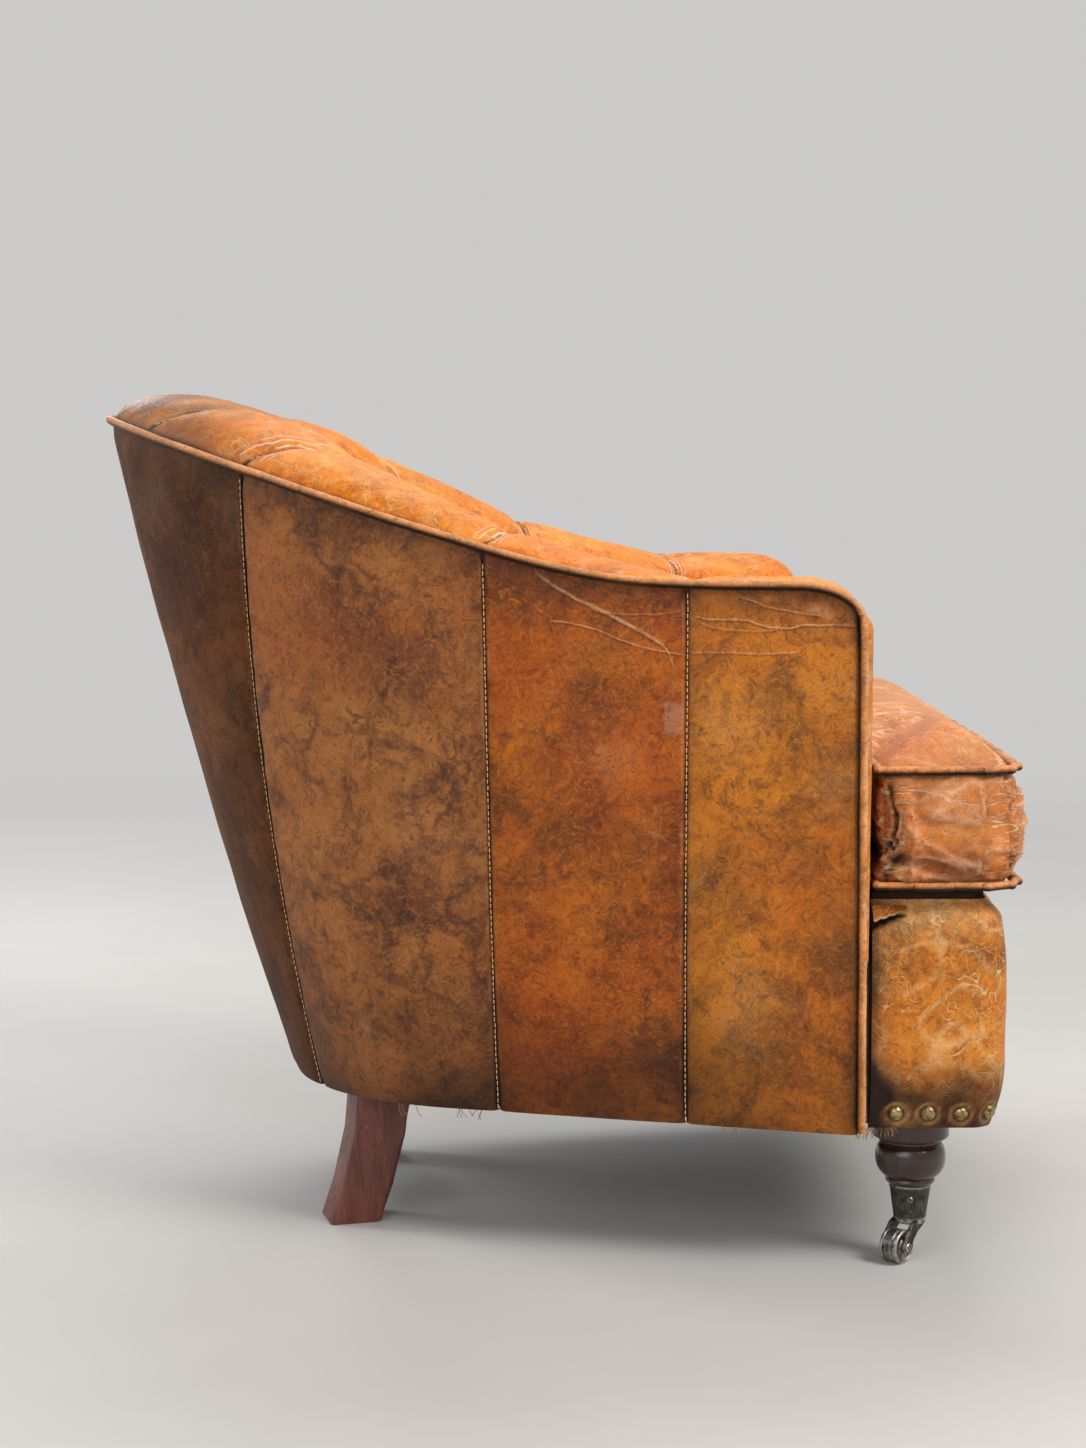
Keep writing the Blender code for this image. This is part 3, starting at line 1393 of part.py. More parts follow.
def caster_axles_and_wheels():
    reach = cheek_offset() + CHEEK_THICKNESS / 2.0 + SEAT_GAP
    axle = [
        (0.0, reach + AXLE_HEAD_HEIGHT),
        (AXLE_HEAD_RADIUS - AXLE_HEAD_CHAMFER, reach + AXLE_HEAD_HEIGHT),
        (AXLE_HEAD_RADIUS, reach + AXLE_HEAD_HEIGHT - AXLE_HEAD_CHAMFER),
        (AXLE_HEAD_RADIUS, reach),
        (AXLE_RADIUS, reach),
    ]
    axle += [(r, -h) for r, h in reversed(axle)]
    half = WHEEL_WIDTH / 2.0
    groove = WHEEL_RADIUS - WHEEL_GROOVE_DEPTH
    bore = AXLE_RADIUS + RUNNING_GAP
    wheel = [
        (bore, half),
        (WHEEL_HUB_RADIUS, half),
        (WHEEL_HUB_RADIUS + WHEEL_CHAMFER, half - WHEEL_CHAMFER),
        (WHEEL_RADIUS - WHEEL_RIM_WALL, half - WHEEL_CHAMFER),
        (WHEEL_RADIUS - WHEEL_CHAMFER, half),
        (WHEEL_RADIUS, half - WHEEL_CHAMFER),
        (WHEEL_RADIUS, WHEEL_GROOVE_WIDTH / 2.0 + WHEEL_CHAMFER),
        (groove, WHEEL_GROOVE_WIDTH / 2.0),
    ]
    wheel += [(r, -h) for r, h in reversed(wheel)]
    for side in SIDES:
        turn = math.radians(side * CASTER_TURN_DEG)
        place = Matrix.Translation((FRONT_LEG_X, side * FRONT_LEG_Y, 0.0)) @ Matrix.Rotation(turn, 4, "Z")
        made = turned(f"caster_axle_{side_name(side)}", axle, "wheel_metal", steps=10)
        made.matrix_world = place @ axle_placement()
        made = ring_turned(f"caster_wheel_{side_name(side)}", wheel, "wheel_metal", steps=18)
        made.matrix_world = place @ axle_placement()


# Underside


def dust_cover():
    low = RAIL_BOTTOM_Z - SEAT_GAP - DUST_COVER_THICKNESS
    high = RAIL_BOTTOM_Z - SEAT_GAP
    inset = DUST_COVER_INSET
    outline = [shell_point(s, 0.0, inset) for s in even_steps(0.0, DUST_COVER_SIDE_SHARE, 16)]
    wide = platform_half_width() - DUST_COVER_MARGIN
    front = platform_front_x() - DUST_COVER_MARGIN
    outline += [Vector((border_rear_x() + DUST_COVER_MARGIN, wide, 0.0)), Vector((front - inset, wide, 0.0))]
    outline += [Vector((front, wide - inset, 0.0))]
    full = outline + [Vector((p.x, -p.y, 0.0)) for p in reversed(outline[1:])]
    rings = [[Vector((p.x, p.y, z)) for p in full] for z in (low, high)]
    cover = loft("dust_cover", rings, "dust_cloth", smooth=False)
    room = LEG_HOLE_CLEARANCE
    holes = (low - CUT_DEPTH, high + CUT_DEPTH)
    for side in SIDES:
        label = side_name(side)
        round_hole = cylinder_mesh(f"leg_hole_{label}", LEG_CAP_RADIUS + room, *holes)
        round_hole.transform(Matrix.Translation((FRONT_LEG_X, side * FRONT_LEG_Y, 0.0)))
        boolean(cover, tool_object(f"leg_hole_{label}", round_hole), "DIFFERENCE")
        square = rear_leg_ring(leg_top_z(), side, room)
        rings = [[Vector((p.x, p.y, z)) for p in square] for z in holes]
        boolean(cover, tool_object(f"leg_gap_{label}", loft_mesh(f"leg_gap_{label}", rings)), "DIFFERENCE")


outer_panels()
outer_welt()
channels()
arm_facings()
seat_rails()
corner_blocks()
top_rails()
posts()
seat_springs()
seat_deck()
seat_cushion()
front_border()
front_legs()
rear_legs()
caster_cups()
caster_horns()
caster_axles_and_wheels()
dust_cover()
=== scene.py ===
"""Looks of the worn leather club chair: leather, piping, stitches, nails, turned wood and casters.

Metres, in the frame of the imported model: +X is the chair's front, +Z is up, and the photographed
side is -Y. The shell's plan and edge follow the same rules as the CAD model's.
"""

import json
import math
import random

import bmesh
import bpy
import numpy as np
from mathutils import Matrix, Vector, noise


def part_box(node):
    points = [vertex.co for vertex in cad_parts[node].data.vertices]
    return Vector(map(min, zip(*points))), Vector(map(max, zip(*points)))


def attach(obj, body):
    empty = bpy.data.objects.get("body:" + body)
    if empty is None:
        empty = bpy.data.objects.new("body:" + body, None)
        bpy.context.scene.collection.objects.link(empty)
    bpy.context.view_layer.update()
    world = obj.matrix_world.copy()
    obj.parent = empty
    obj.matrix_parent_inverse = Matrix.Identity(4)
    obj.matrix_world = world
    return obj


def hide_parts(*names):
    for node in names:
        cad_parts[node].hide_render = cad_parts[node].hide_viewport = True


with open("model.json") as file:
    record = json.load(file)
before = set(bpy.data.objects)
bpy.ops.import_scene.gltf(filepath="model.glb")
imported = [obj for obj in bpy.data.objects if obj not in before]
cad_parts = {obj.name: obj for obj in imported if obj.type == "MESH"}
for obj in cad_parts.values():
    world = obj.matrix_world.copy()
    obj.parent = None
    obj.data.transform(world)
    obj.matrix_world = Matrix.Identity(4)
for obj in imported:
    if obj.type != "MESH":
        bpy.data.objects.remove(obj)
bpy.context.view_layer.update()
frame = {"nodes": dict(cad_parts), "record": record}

RANDOM = random.Random(7)

# Outer shell, as in the CAD model.
SHELL_BOTTOM_Z = 0.1365
SHELL_FRONT_X = 0.287
SHELL_BOTTOM_FRONT_X = 0.293
BOTTOM_FRONT_HALF_WIDTH = 0.335
BOTTOM_SHOULDER = (-0.092, 0.228)
BOTTOM_BACK_X = -0.265
BOTTOM_ROUNDING = (0.120, 0.105)
TOP_FRONT_HALF_WIDTH = 0.360
TOP_SHOULDER = (-0.104, 0.346)
TOP_BACK_X = -0.4495
TOP_ROUNDING = (0.160, 0.150)
SHELL_BULGE = 0.009
ARM_EDGE_Z = 0.652
SWEEP_SLOPE = 0.315
SWEEP_START_X = 0.046
SWEEP_SOFTNESS = 0.040
ARM_CORNER_LENGTH = 0.058
ARM_CORNER_HEIGHT = 0.035
SHOULDER_SHARE = 0.45
REAR_SEAM = (0.205, 0.275)
MIDDLE_SEAM = (0.513, 0.512)
FRONT_SEAM = (0.768, 0.775)
BACK_CHANNEL_SHARE = 0.150

# Inner face and the padded roll.
INNER_FRONT_HALF_WIDTH = 0.254
INNER_SHOULDER = (-0.044, 0.222)
INNER_BACK_X = -0.158
INNER_ROUNDING = (0.075, 0.135)
INNER_BACK_LEAN = 0.36
INNER_SIDE_LEAN = 0.08
SEAT_LINE_Z = 0.470
ARM_ROLL_HEIGHT = 0.005
WING_ROLL_HEIGHT = 0.028
BACK_ROLL_HEIGHT = 0.022
WING_SHARE = 0.19
ARM_ROLL_DROP = 0.034
BACK_ROLL_DROP = 0.075
ROLL_PADDING = 0.016
CHANNEL_LINING_SHARE = 0.54
PAD_BOTTOM_Z = 0.373
ARM_NOSE = 0.012

PANEL_THICKNESS = 0.0032
WELT_RADIUS = 0.0042
PIPING_RADIUS = 0.0040
SEAT_GAP = 0.0003

# Front border and nails.
BORDER_HALF_WIDTH = 0.334
BORDER_FRONT_X = 0.432
BORDER_FRONT_BOW = 0.006
BORDER_BOTTOM_Z = 0.1415
BORDER_TOP_Z = 0.3575
BORDER_CORNER_RADIUS = 0.034
BORDER_PADDING = 0.022
BORDER_FULLEST = (0.30, 0.55)
BORDER_TUCK = 0.014
BORDER_TOP_PULL = 0.0085
BORDER_REAR_X = SHELL_FRONT_X + ARM_NOSE + 0.0025
NAIL_RADIUS = 0.0078
NAIL_DOME = 0.0042
NAIL_SPACING = 0.0305
NAIL_Z = 0.1555

# The photograph's frame and camera.
PHOTO_SIZE = (1086, 1448)
PHOTO_FOCAL = 2680.0
SENSOR = 36.0
CAMERA_BEHIND_LEG = 0.3535
CAMERA_Y = -2.78885
CAMERA_Z = 0.76293
CAMERA_PITCH = math.radians(5.5624)

# The photographed side, about halfway up.
PHOTO_SIDE_Y = -0.345

# Seam distances up to this are painted on the leather.
SEAM_REACH = 0.030

SIDES = (-1, 1)


def side_name(side):
    return "left" if side > 0 else "right"


def box_middle(node):
    low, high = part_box(node)
    return (Vector(low) + Vector(high)) / 2.0


LEG_SPOT = box_middle("front_leg_right")
CAMERA_SPOT = Vector((LEG_SPOT.x - CAMERA_BEHIND_LEG, CAMERA_Y, CAMERA_Z))


# Numbers and curves


def mix(a, b, share):
    return a + (b - a) * share


def smoothstep(low, high, value):
    share = min(1.0, max(0.0, (value - low) / (high - low)))
    return share * share * (3.0 - 2.0 * share)


def even_steps(start, end, count):
    return [mix(start, end, i / count) for i in range(count + 1)]


def eased_steps(count, ease=0.75):
    """Shares from 0 to 1, closer together at both ends."""
    even = np.linspace(0.0, 1.0, count + 1)
    return mix(even, 0.5 - 0.5 * np.cos(np.pi * even), ease)


def photo_point(x, y, depth_y):
    """Where the sight line through a pixel of the photograph meets the plane Y = depth_y."""
    a = (x - PHOTO_SIZE[0] / 2.0) / PHOTO_FOCAL
    b = (y - PHOTO_SIZE[1] / 2.0) / PHOTO_FOCAL
    sine, cosine = math.sin(CAMERA_PITCH), math.cos(CAMERA_PITCH)
    sight = Vector((a, cosine - b * sine, -sine - b * cosine))
    return CAMERA_SPOT + sight * ((depth_y - CAMERA_SPOT.y) / sight.y)


def wave(p, scale, seed):
    """Smooth noise from about -1 to 1. The scale is in waves a metre, one or three numbers."""
    q = Vector((p[0], p[1], p[2])) * scale if isinstance(scale, (int, float)) else Vector(
        (p[0] * scale[0], p[1] * scale[1], p[2] * scale[2])
    )
    return noise.noise(q + Vector((seed, seed * 0.7, -seed * 1.3)))


def crease(p, scale, seed, width=0.14):
    """1 on thin wandering lines, 0 away from them."""
    return max(0.0, 1.0 - abs(wave(p, scale, seed)) / width)


# The shell, as in the CAD model


def plan_point(share, front, shoulder, back_x, rounding):
    if share >= SHOULDER_SHARE:
        return shoulder.lerp(front, (share - SHOULDER_SHARE) / (1.0 - SHOULDER_SHARE))
    corner = shoulder + (shoulder - front).normalized() * rounding[0]
    w = share / SHOULDER_SHARE
    v = 1.0 - w
    x = shoulder.x * w**3 + corner.x * 3 * v * w * w + back_x * (3 * v * v * w + v**3)
    y = shoulder.y * w**3 + corner.y * 3 * v * w * w + rounding[1] * 3 * v * v * w
    return Vector((x, y))


BOTTOM_FRONT = Vector((SHELL_BOTTOM_FRONT_X, BOTTOM_FRONT_HALF_WIDTH))
TOP_FRONT = Vector((SHELL_FRONT_X, TOP_FRONT_HALF_WIDTH))


def bottom_plan(share):
    return plan_point(share, BOTTOM_FRONT, Vector(BOTTOM_SHOULDER), BOTTOM_BACK_X, BOTTOM_ROUNDING)


def top_plan(share):
    return plan_point(share, TOP_FRONT, Vector(TOP_SHOULDER), TOP_BACK_X, TOP_ROUNDING)


def edge_height(share):
    swell = (SWEEP_START_X - top_plan(share).x) / SWEEP_SOFTNESS
    return ARM_EDGE_Z + SWEEP_SLOPE * SWEEP_SOFTNESS * math.log1p(math.exp(swell))


def corner_drop(share, trim=0.0):
    length = ARM_CORNER_LENGTH - trim
    past = top_plan(share).x - (SHELL_FRONT_X - ARM_CORNER_LENGTH)
    past = min(max(past / length, 0.0), 1.0)
    return (ARM_CORNER_HEIGHT - trim) * (1.0 - math.sqrt(1.0 - past**2))


def shell_point(share, rise, inset=0.0):
    def level(at):
        at = min(1.0, max(0.0, at))
        return bottom_plan(at).lerp(top_plan(at), rise)

    step = 0.002
    along = (level(share + step) - level(share - step)).normalized()
    outward = Vector((-along.y, along.x))
    bulge = SHELL_BULGE * 4.0 * rise * (1.0 - rise) * (1.0 - 0.6 * smoothstep(0.6, 1.0, share))
    flat = level(share) + outward * (bulge - inset)
    return Vector((flat.x, flat.y, mix(SHELL_BOTTOM_Z, edge_height(share), rise)))


def shell_at_height(share, z, inset=0.0):
    return shell_point(share, (z - SHELL_BOTTOM_Z) / (edge_height(share) - SHELL_BOTTOM_Z), inset)


def inner_point(share, z):
    above = max(0.0, z - SEAT_LINE_Z)
    front = Vector((SHELL_FRONT_X, INNER_FRONT_HALF_WIDTH))
    shoulder = Vector((INNER_SHOULDER[0], INNER_SHOULDER[1] + INNER_SIDE_LEAN * above))
    flat = plan_point(share, front, shoulder, INNER_BACK_X - INNER_BACK_LEAN * above, INNER_ROUNDING)
    return Vector((flat.x, flat.y, z))


def corner_share():
    straight = (SHELL_FRONT_X - TOP_SHOULDER[0]) / (1.0 - SHOULDER_SHARE)
    return 1.0 - ARM_CORNER_LENGTH / straight


def roll_height(share):
    base = mix(BACK_ROLL_HEIGHT, ARM_ROLL_HEIGHT, smoothstep(0.35, 0.90, share))
    wing = 1.0 - min(1.0, abs(share - WING_SHARE) / WING_SHARE)
    return base + (WING_ROLL_HEIGHT - BACK_ROLL_HEIGHT) * smoothstep(0.0, 1.0, wing)


class WallSection:
    """The upright plane that cuts the arm or back at one share of the half plan."""

    def __init__(self, share):
        self.share = abs(share)
        self.side = 1.0 if share >= 0.0 else -1.0
        self.edge_z = edge_height(self.share) - corner_drop(self.share)
        self.origin = shell_point(self.share, 1.0)
        across = inner_point(self.share, SEAT_LINE_Z) - self.origin
        across.z = 0.0
        self.across = across.normalized()

    def crossing(self, curve):
        def beside(share):
            away = curve(share) - self.origin
            return self.across.x * away.y - self.across.y * away.x

        low, high = max(0.0, self.share - 0.3), min(1.0, self.share + 0.3)
        share = self.share
        if beside(low) * beside(high) < 0.0:
            rising = beside(high) > 0.0
            for _ in range(13):
                share = (low + high) / 2.0
                if (beside(share) > 0.0) == rising:
                    high = share
                else:
                    low = share
        return (curve(share) - self.origin).dot(self.across)

    def outer(self, z, inset=0.0):
        return self.crossing(lambda share: shell_at_height(share, z, inset))

    def inner(self, z):
        return self.crossing(lambda share: inner_point(share, z))

    def place(self, across, z):
        p = self.origin + self.across * across
        return Vector((p.x, p.y * self.side, z))


# Shader building


class Shader:
    """Short calls for a material's node tree. Patterns follow the piece's own coordinates."""

    def __init__(self, name):
        self.material = bpy.data.materials.new(name)
        self.material.use_nodes = True
        self.tree = self.material.node_tree
        self.principled = self.tree.nodes["Principled BSDF"]
        self.place = self.add("ShaderNodeTexCoord").outputs["Object"]

    def add(self, kind, **settings):
        node = self.tree.nodes.new(kind)
        for key, value in settings.items():
            setattr(node, key, value)
        return node

    def feed(self, socket, value):
        if isinstance(value, bpy.types.NodeSocket):
            self.tree.links.new(value, socket)
        elif value is not None:
            socket.default_value = value

    def math(self, operation, a, b=None, c=None):
        node = self.add("ShaderNodeMath", operation=operation)
        for socket, value in zip(node.inputs, (a, b, c)):
            self.feed(socket, value)
        return node.outputs[0]

    def times(self, *values):
        result = values[0]
        for value in values[1:]:
            result = self.math("MULTIPLY", result, value)
        return result

    def range(self, value, low, high, to_low=0.0, to_high=1.0):
        node = self.add("ShaderNodeMapRange", interpolation_type="SMOOTHSTEP")
        for socket, number in zip(node.inputs, (value, low, high, to_low, to_high)):
            self.feed(socket, number)
        return node.outputs[0]

    def mapped(self, scale=(1.0, 1.0, 1.0), turn=(0.0, 0.0, 0.0), shift=(0.0, 0.0, 0.0), vector=None):
        node = self.add("ShaderNodeMapping")
        self.feed(node.inputs["Vector"], vector or self.place)
        node.inputs["Scale"].default_value = scale
        node.inputs["Rotation"].default_value = turn
        node.inputs["Location"].default_value = shift
        return node.outputs[0]

    def drawn(self, turn, stretch, vector):
        """The coordinates drawn out along one turned direction."""
        node = self.add("ShaderNodeMapping", vector_type="TEXTURE")
        self.feed(node.inputs["Vector"], vector)
        node.inputs["Rotation"].default_value = turn
        node.inputs["Scale"].default_value = (1.0, 1.0, stretch)
        return node.outputs[0]

    def noise(self, scale, detail=4.0, roughness=0.55, distortion=0.0, vector=None, colour=False):
        node = self.add("ShaderNodeTexNoise")
        self.feed(node.inputs["Vector"], vector or self.place)
        node.inputs["Scale"].default_value = scale
        node.inputs["Detail"].default_value = detail
        node.inputs["Roughness"].default_value = roughness
        node.inputs["Distortion"].default_value = distortion
        return node.outputs["Color" if colour else "Fac"]

    def cells(self, scale, vector=None, feature="DISTANCE_TO_EDGE"):
        node = self.add("ShaderNodeTexVoronoi", feature=feature)
        self.feed(node.inputs["Vector"], vector or self.place)
        node.inputs["Scale"].default_value = scale
        return node.outputs["Distance"]

    def warped(self, amount, scale, vector=None):
        """The coordinates, pushed about by noise."""
        push = self.add("ShaderNodeVectorMath", operation="MULTIPLY_ADD")
        self.feed(push.inputs[0], self.noise(scale, 3.0, colour=True, vector=vector))
        push.inputs[1].default_value = (amount, amount, amount)
        self.feed(push.inputs[2], vector or self.place)
        return push.outputs[0]

    def lines(self, scale, width, vector=None, detail=1.0, distortion=0.0):
        """Thin wandering lines, where smooth noise passes its middle value."""
        value = self.noise(scale, detail, 0.5, distortion, vector)
        away = self.math("ABSOLUTE", self.math("SUBTRACT", value, 0.5))
        return self.range(away, 0.0, width, 1.0, 0.0)

    def blend(self, factor, a, b, mode="MIX"):
        node = self.add("ShaderNodeMix", data_type="RGBA", blend_type=mode)
        self.feed(node.inputs["Factor"], factor)
        for socket, value in ((node.inputs[6], a), (node.inputs[7], b)):
            self.feed(socket, (*value, 1.0) if isinstance(value, tuple) and len(value) == 3 else value)
        return node.outputs[2]

    def tone(self, name="tone"):
        """The piece's painted tone: painted shade, wear together with some painted highlights, warmth, and the distance
        to the nearest seam in metres.
        """
        node = self.add("ShaderNodeAttribute", attribute_name=name)
        split = self.add("ShaderNodeSeparateColor")
        self.feed(split.inputs[0], node.outputs["Color"])
        gap = self.times(node.outputs["Alpha"], SEAM_REACH)
        return split.outputs[0], split.outputs[1], split.outputs[2], gap

    def bumps(self, *layers):
        """Each layer is a height and how far it stands proud in metres."""
        normal = None
        for height, distance in layers:
            node = self.add("ShaderNodeBump")
            node.inputs["Distance"].default_value = distance
            self.feed(node.inputs["Height"], height)
            self.feed(node.inputs["Normal"], normal)
            normal = node.outputs[0]
        self.feed(self.principled.inputs["Normal"], normal)

    def finish(self, colour, roughness, metallic=0.0, specular=0.5, coat=0.0, coat_roughness=0.3):
        inputs = self.principled.inputs
        if isinstance(colour, tuple):
            colour = (*colour, 1.0)
        self.feed(inputs["Base Color"], colour)
        self.feed(inputs["Roughness"], roughness)
        inputs["Metallic"].default_value = metallic
        inputs["Specular IOR Level"].default_value = specular
        inputs["Coat Weight"].default_value = coat
        inputs["Coat Roughness"].default_value = coat_roughness
        return self.material


def stroke(shader, pixels, width, depth_y=PHOTO_SIDE_Y):
    """A thin line along pixels of the photograph, on the photographed side, as a mask: a scratch or crease, or the
    painted shadow just below one.
    """
    spots = [photo_point(x, y, depth_y) for x, y in pixels]
    x_low, x_high = spots[0].x, spots[-1].x
    z_low, z_high = min(p.z for p in spots), max(p.z for p in spots)
    split = shader.add("ShaderNodeSeparateXYZ")
    shader.feed(split.inputs[0], shader.warped(0.0032, 85.0))
    travel = shader.add("ShaderNodeMapRange")
    for socket, value in zip(travel.inputs, (split.outputs[0], x_low, x_high, 0.0, 1.0)):
        shader.feed(socket, value)
    curve = shader.add("ShaderNodeFloatCurve")
    line = curve.mapping.curves[0]
    while len(line.points) < len(spots):
        line.points.new(0.5, 0.5)
    for point, p in zip(line.points, spots):
        point.location = ((p.x - x_low) / (x_high - x_low), (p.z - z_low) / (z_high - z_low))
    curve.mapping.update()
    shader.feed(curve.inputs["Value"], travel.outputs[0])
    height = shader.math("MULTIPLY_ADD", curve.outputs[0], z_high - z_low, z_low)
    away = shader.math("ABSOLUTE", shader.math("SUBTRACT", split.outputs[2], height))
    inside = shader.range(travel.outputs[0], 0.0, 0.06)
    outside = shader.range(travel.outputs[0], 0.97, 1.0, 1.0, 0.0)
    near = shader.math("LESS_THAN", split.outputs[1], 0.0)
    return shader.times(shader.range(away, width * 0.35, width, 1.0, 0.0), inside, outside, near)


def leather(name, light, mid, dark, pale, seed, veins=0.6, crackle=0.3, scratches=0.4, cloud=5.0,
            streaks=0.7, gloss=0.42, specular=0.25, stain=0.8, mottle=0.6, hairs=0.3, spots=(), marks=(),
            patch=None, streaked=0.0, pleats=0.0):
    """Worn pull-up leather: clouds of tone, dark veins, pale hair lines and crackle, and fine grain."""
    s = Shader(name)
    shade, wear, warmth, gap = s.tone()
    base = s.mapped(shift=(seed, seed * 0.37, -seed * 0.61))
    soft = s.warped(0.05, 9.0, base)
    clouds = s.range(s.noise(cloud, 5.0, 0.62, 0.4, soft), 0.38, 0.62)
    patches = s.range(s.noise(cloud * 2.6, 5.0, 0.70, 0.9, base), 0.47, 0.64)
    stains = s.range(s.noise(cloud * 0.8, 5.0, 0.72, 1.4, soft), 0.51, 0.63)
    blots = s.noise(29.0, 5.0, 0.74, 1.3, soft)
    colour = s.blend(clouds, mid, light)
    colour = s.blend(s.times(patches, stain * 0.75), colour, dark)
    colour = s.blend(s.times(stains, stain * 0.70), colour, dark)
    colour = s.blend(s.times(s.range(blots, 0.51, 0.66), mottle), colour, dark)
    colour = s.blend(s.times(s.range(blots, 0.46, 0.32), mottle * 0.7), colour, tuple(c * 1.25 for c in light))
    reddish = (mid[0] * 1.05, mid[1] * 0.70, mid[2] * 0.5)
    colour = s.blend(s.times(warmth, 0.8), colour, reddish)
    for (x, y), radius, strength in spots:
        colour = s.blend(near_spot(s, x, y, radius, abs(strength)), colour, pale if strength > 0.0 else dark)
    twisted = s.warped(0.075, 17.0, s.warped(0.02, 60.0, base))
    branches = s.range(s.cells(13.0, twisted), 0.0, 0.09, 1.0, 0.0)
    threads = s.lines(11.0, 0.018, twisted, 3.0, 0.6)
    vein_mask = s.range(s.noise(9.0, 3.0, vector=base), 0.47, 0.60)
    vein_colour = (dark[0] * 0.45, dark[1] * 0.45, dark[2] * 0.8)
    colour = s.blend(s.times(s.math("MAXIMUM", branches, threads), vein_mask, veins * 0.75), colour, vein_colour)
    fine = s.noise(210.0, 4.0, 0.7, 1.6, base)
    strokes = s.noise(70.0, 4.0, 0.74, 3.0, base)
    colour = s.blend(s.times(s.range(strokes, 0.50, 0.70), streaks), colour, light)
    colour = s.blend(s.times(s.range(strokes, 0.50, 0.30), streaks), colour, dark)
    colour = s.blend(s.times(s.range(fine, 0.54, 0.78), 0.30), colour, light)
    colour = s.blend(s.times(s.range(fine, 0.48, 0.24), 0.60), colour, dark)
    cracks = s.range(s.cells(74.0, s.warped(0.02, 45.0, base)), 0.0, 0.045, 1.0, 0.0)
    cracks = s.times(cracks, s.range(s.noise(13.0, 3.0, vector=base), 0.42, 0.62))
    curls = s.times(s.lines(38.0, 0.0055, soft, 1.5, 0.7), s.range(s.noise(38.0, 2.0, vector=soft), 0.5, 0.6))
    hooks = s.times(s.lines(70.0, 0.008, base, 1.0, 0.4), s.range(s.noise(60.0, 2.0, vector=base), 0.53, 0.62))
    hair_lines = s.math("MAXIMUM", curls, hooks)
    colour = s.blend(s.times(cracks, crackle), colour, pale)
    colour = s.blend(s.times(hair_lines, scratches), colour, pale)
    raised = s.math("ADD", cracks, hair_lines)
    bent = s.warped(0.010, 15.0, base)
    for turn, stretch in ((0.55, 6.0), (-0.75, 4.5), (1.6, 5.0)):
        drawn = s.drawn((turn, turn, 0.0), stretch, bent)
        long_hairs = s.times(s.lines(36.0, 0.008, drawn, 1.0, 0.2), s.range(s.noise(21.0, 1.0, vector=drawn), 0.45, 0.56))
        colour = s.blend(s.times(long_hairs, hairs), colour, pale)
        raised = s.math("ADD", raised, long_hairs)
    # Paler by the tone's wear channel: real wear, and on some pieces painted highlights.
    worn = s.times(wear, s.range(strokes, 0.25, 0.6, 0.45, 1.0))
    colour = s.blend(worn, colour, pale)
    if streaked:
        flow = s.mapped(scale=(0.09, 0.09, 1.0), turn=(0.10, -0.12, 0.0), vector=s.warped(0.010, 13.0, base))
        long_lines = s.math("MAXIMUM", s.lines(70.0, 0.018, flow, 2.5, 0.5), s.lines(120.0, 0.016, flow, 2.0, 0.8))
        long_lines = s.times(long_lines, s.range(s.noise(16.0, 3.0, vector=base), 0.38, 0.60))
        bands = s.range(s.noise(34.0, 3.0, 0.6, 0.4, flow), 0.35, 0.65)
        colour = s.blend(s.times(bands, streaked * 0.45), colour, light)
        colour = s.blend(s.times(long_lines, streaked), colour, pale)
        raised = s.math("ADD", raised, long_lines)
    if pleats:
        wander = s.noise(55.0, 3.0, vector=base)
        for distance, width, strength in ((0.0030, 0.0011, 1.0), (0.0075, 0.0009, 0.8), (0.0120, 0.0008, 0.6)):
            place = s.math("MULTIPLY_ADD", wander, 0.006, distance - 0.003)
            away = s.math("ABSOLUTE", s.math("SUBTRACT", gap, place))
            line = s.range(away, width * 0.3, width, 1.0, 0.0)
            mask = s.range(s.noise(24.0, 2.0, vector=s.mapped(shift=(distance * 900.0, 0.0, 0.0))), 0.36, 0.52)
            colour = s.blend(s.times(line, mask, pleats * strength), colour, (0.98, 0.80, 0.58))
            raised = s.math("ADD", raised, s.times(line, mask, 1.5))
    # Each scratch and crease gets a painted shadow line just below it, then its own pale line.
    for (pixels, width), strength in marks:
        below = tuple((x, y + 2.3) for x, y in pixels)
        colour = s.blend(s.times(stroke(s, below, width * 1.4), strength * 0.8), colour, dark)
        broken = s.range(fine, 0.36, 0.56, 0.30, 1.0)
        colour = s.blend(s.times(stroke(s, pixels, width), broken, strength), colour, pale)
    if patch:
        colour = s.blend(s.times(scuff(s, *patch), 0.45), colour, (0.42, 0.24, 0.16))
    colour = s.blend(shade, colour, tuple(c * 0.12 for c in dark))
    roughness = s.math("ADD", s.range(strokes, 0.3, 0.7, gloss - 0.08, gloss + 0.10), s.times(worn, 0.1))
    grain = s.cells(620.0, s.warped(0.0015, 300.0, base))
    s.bumps(
        (clouds, 0.0008),
        (strokes, 0.0010),
        (fine, 0.00045),
        (grain, 0.00018),
        (raised, -0.0004),
    )
    return s.finish(colour, roughness, specular=specular)


def near_spot(s, x, y, radius, strength, ragged=0.075):
    """A soft uneven patch round a pixel of the photograph, on the photographed side, as a mask."""
    away = s.add("ShaderNodeVectorMath", operation="DISTANCE")
    s.feed(away.inputs[0], s.warped(ragged, 16.0))
    half = ragged / 2.0
    broken = s.range(s.noise(24.0, 3.0), 0.36, 0.60, 0.25, 1.0)
    away.inputs[1].default_value = photo_point(x, y, PHOTO_SIDE_Y) + Vector((half, half, half))
    return s.times(s.range(away.outputs["Value"], 0.0, radius * 1.1, strength, 0.0), broken)


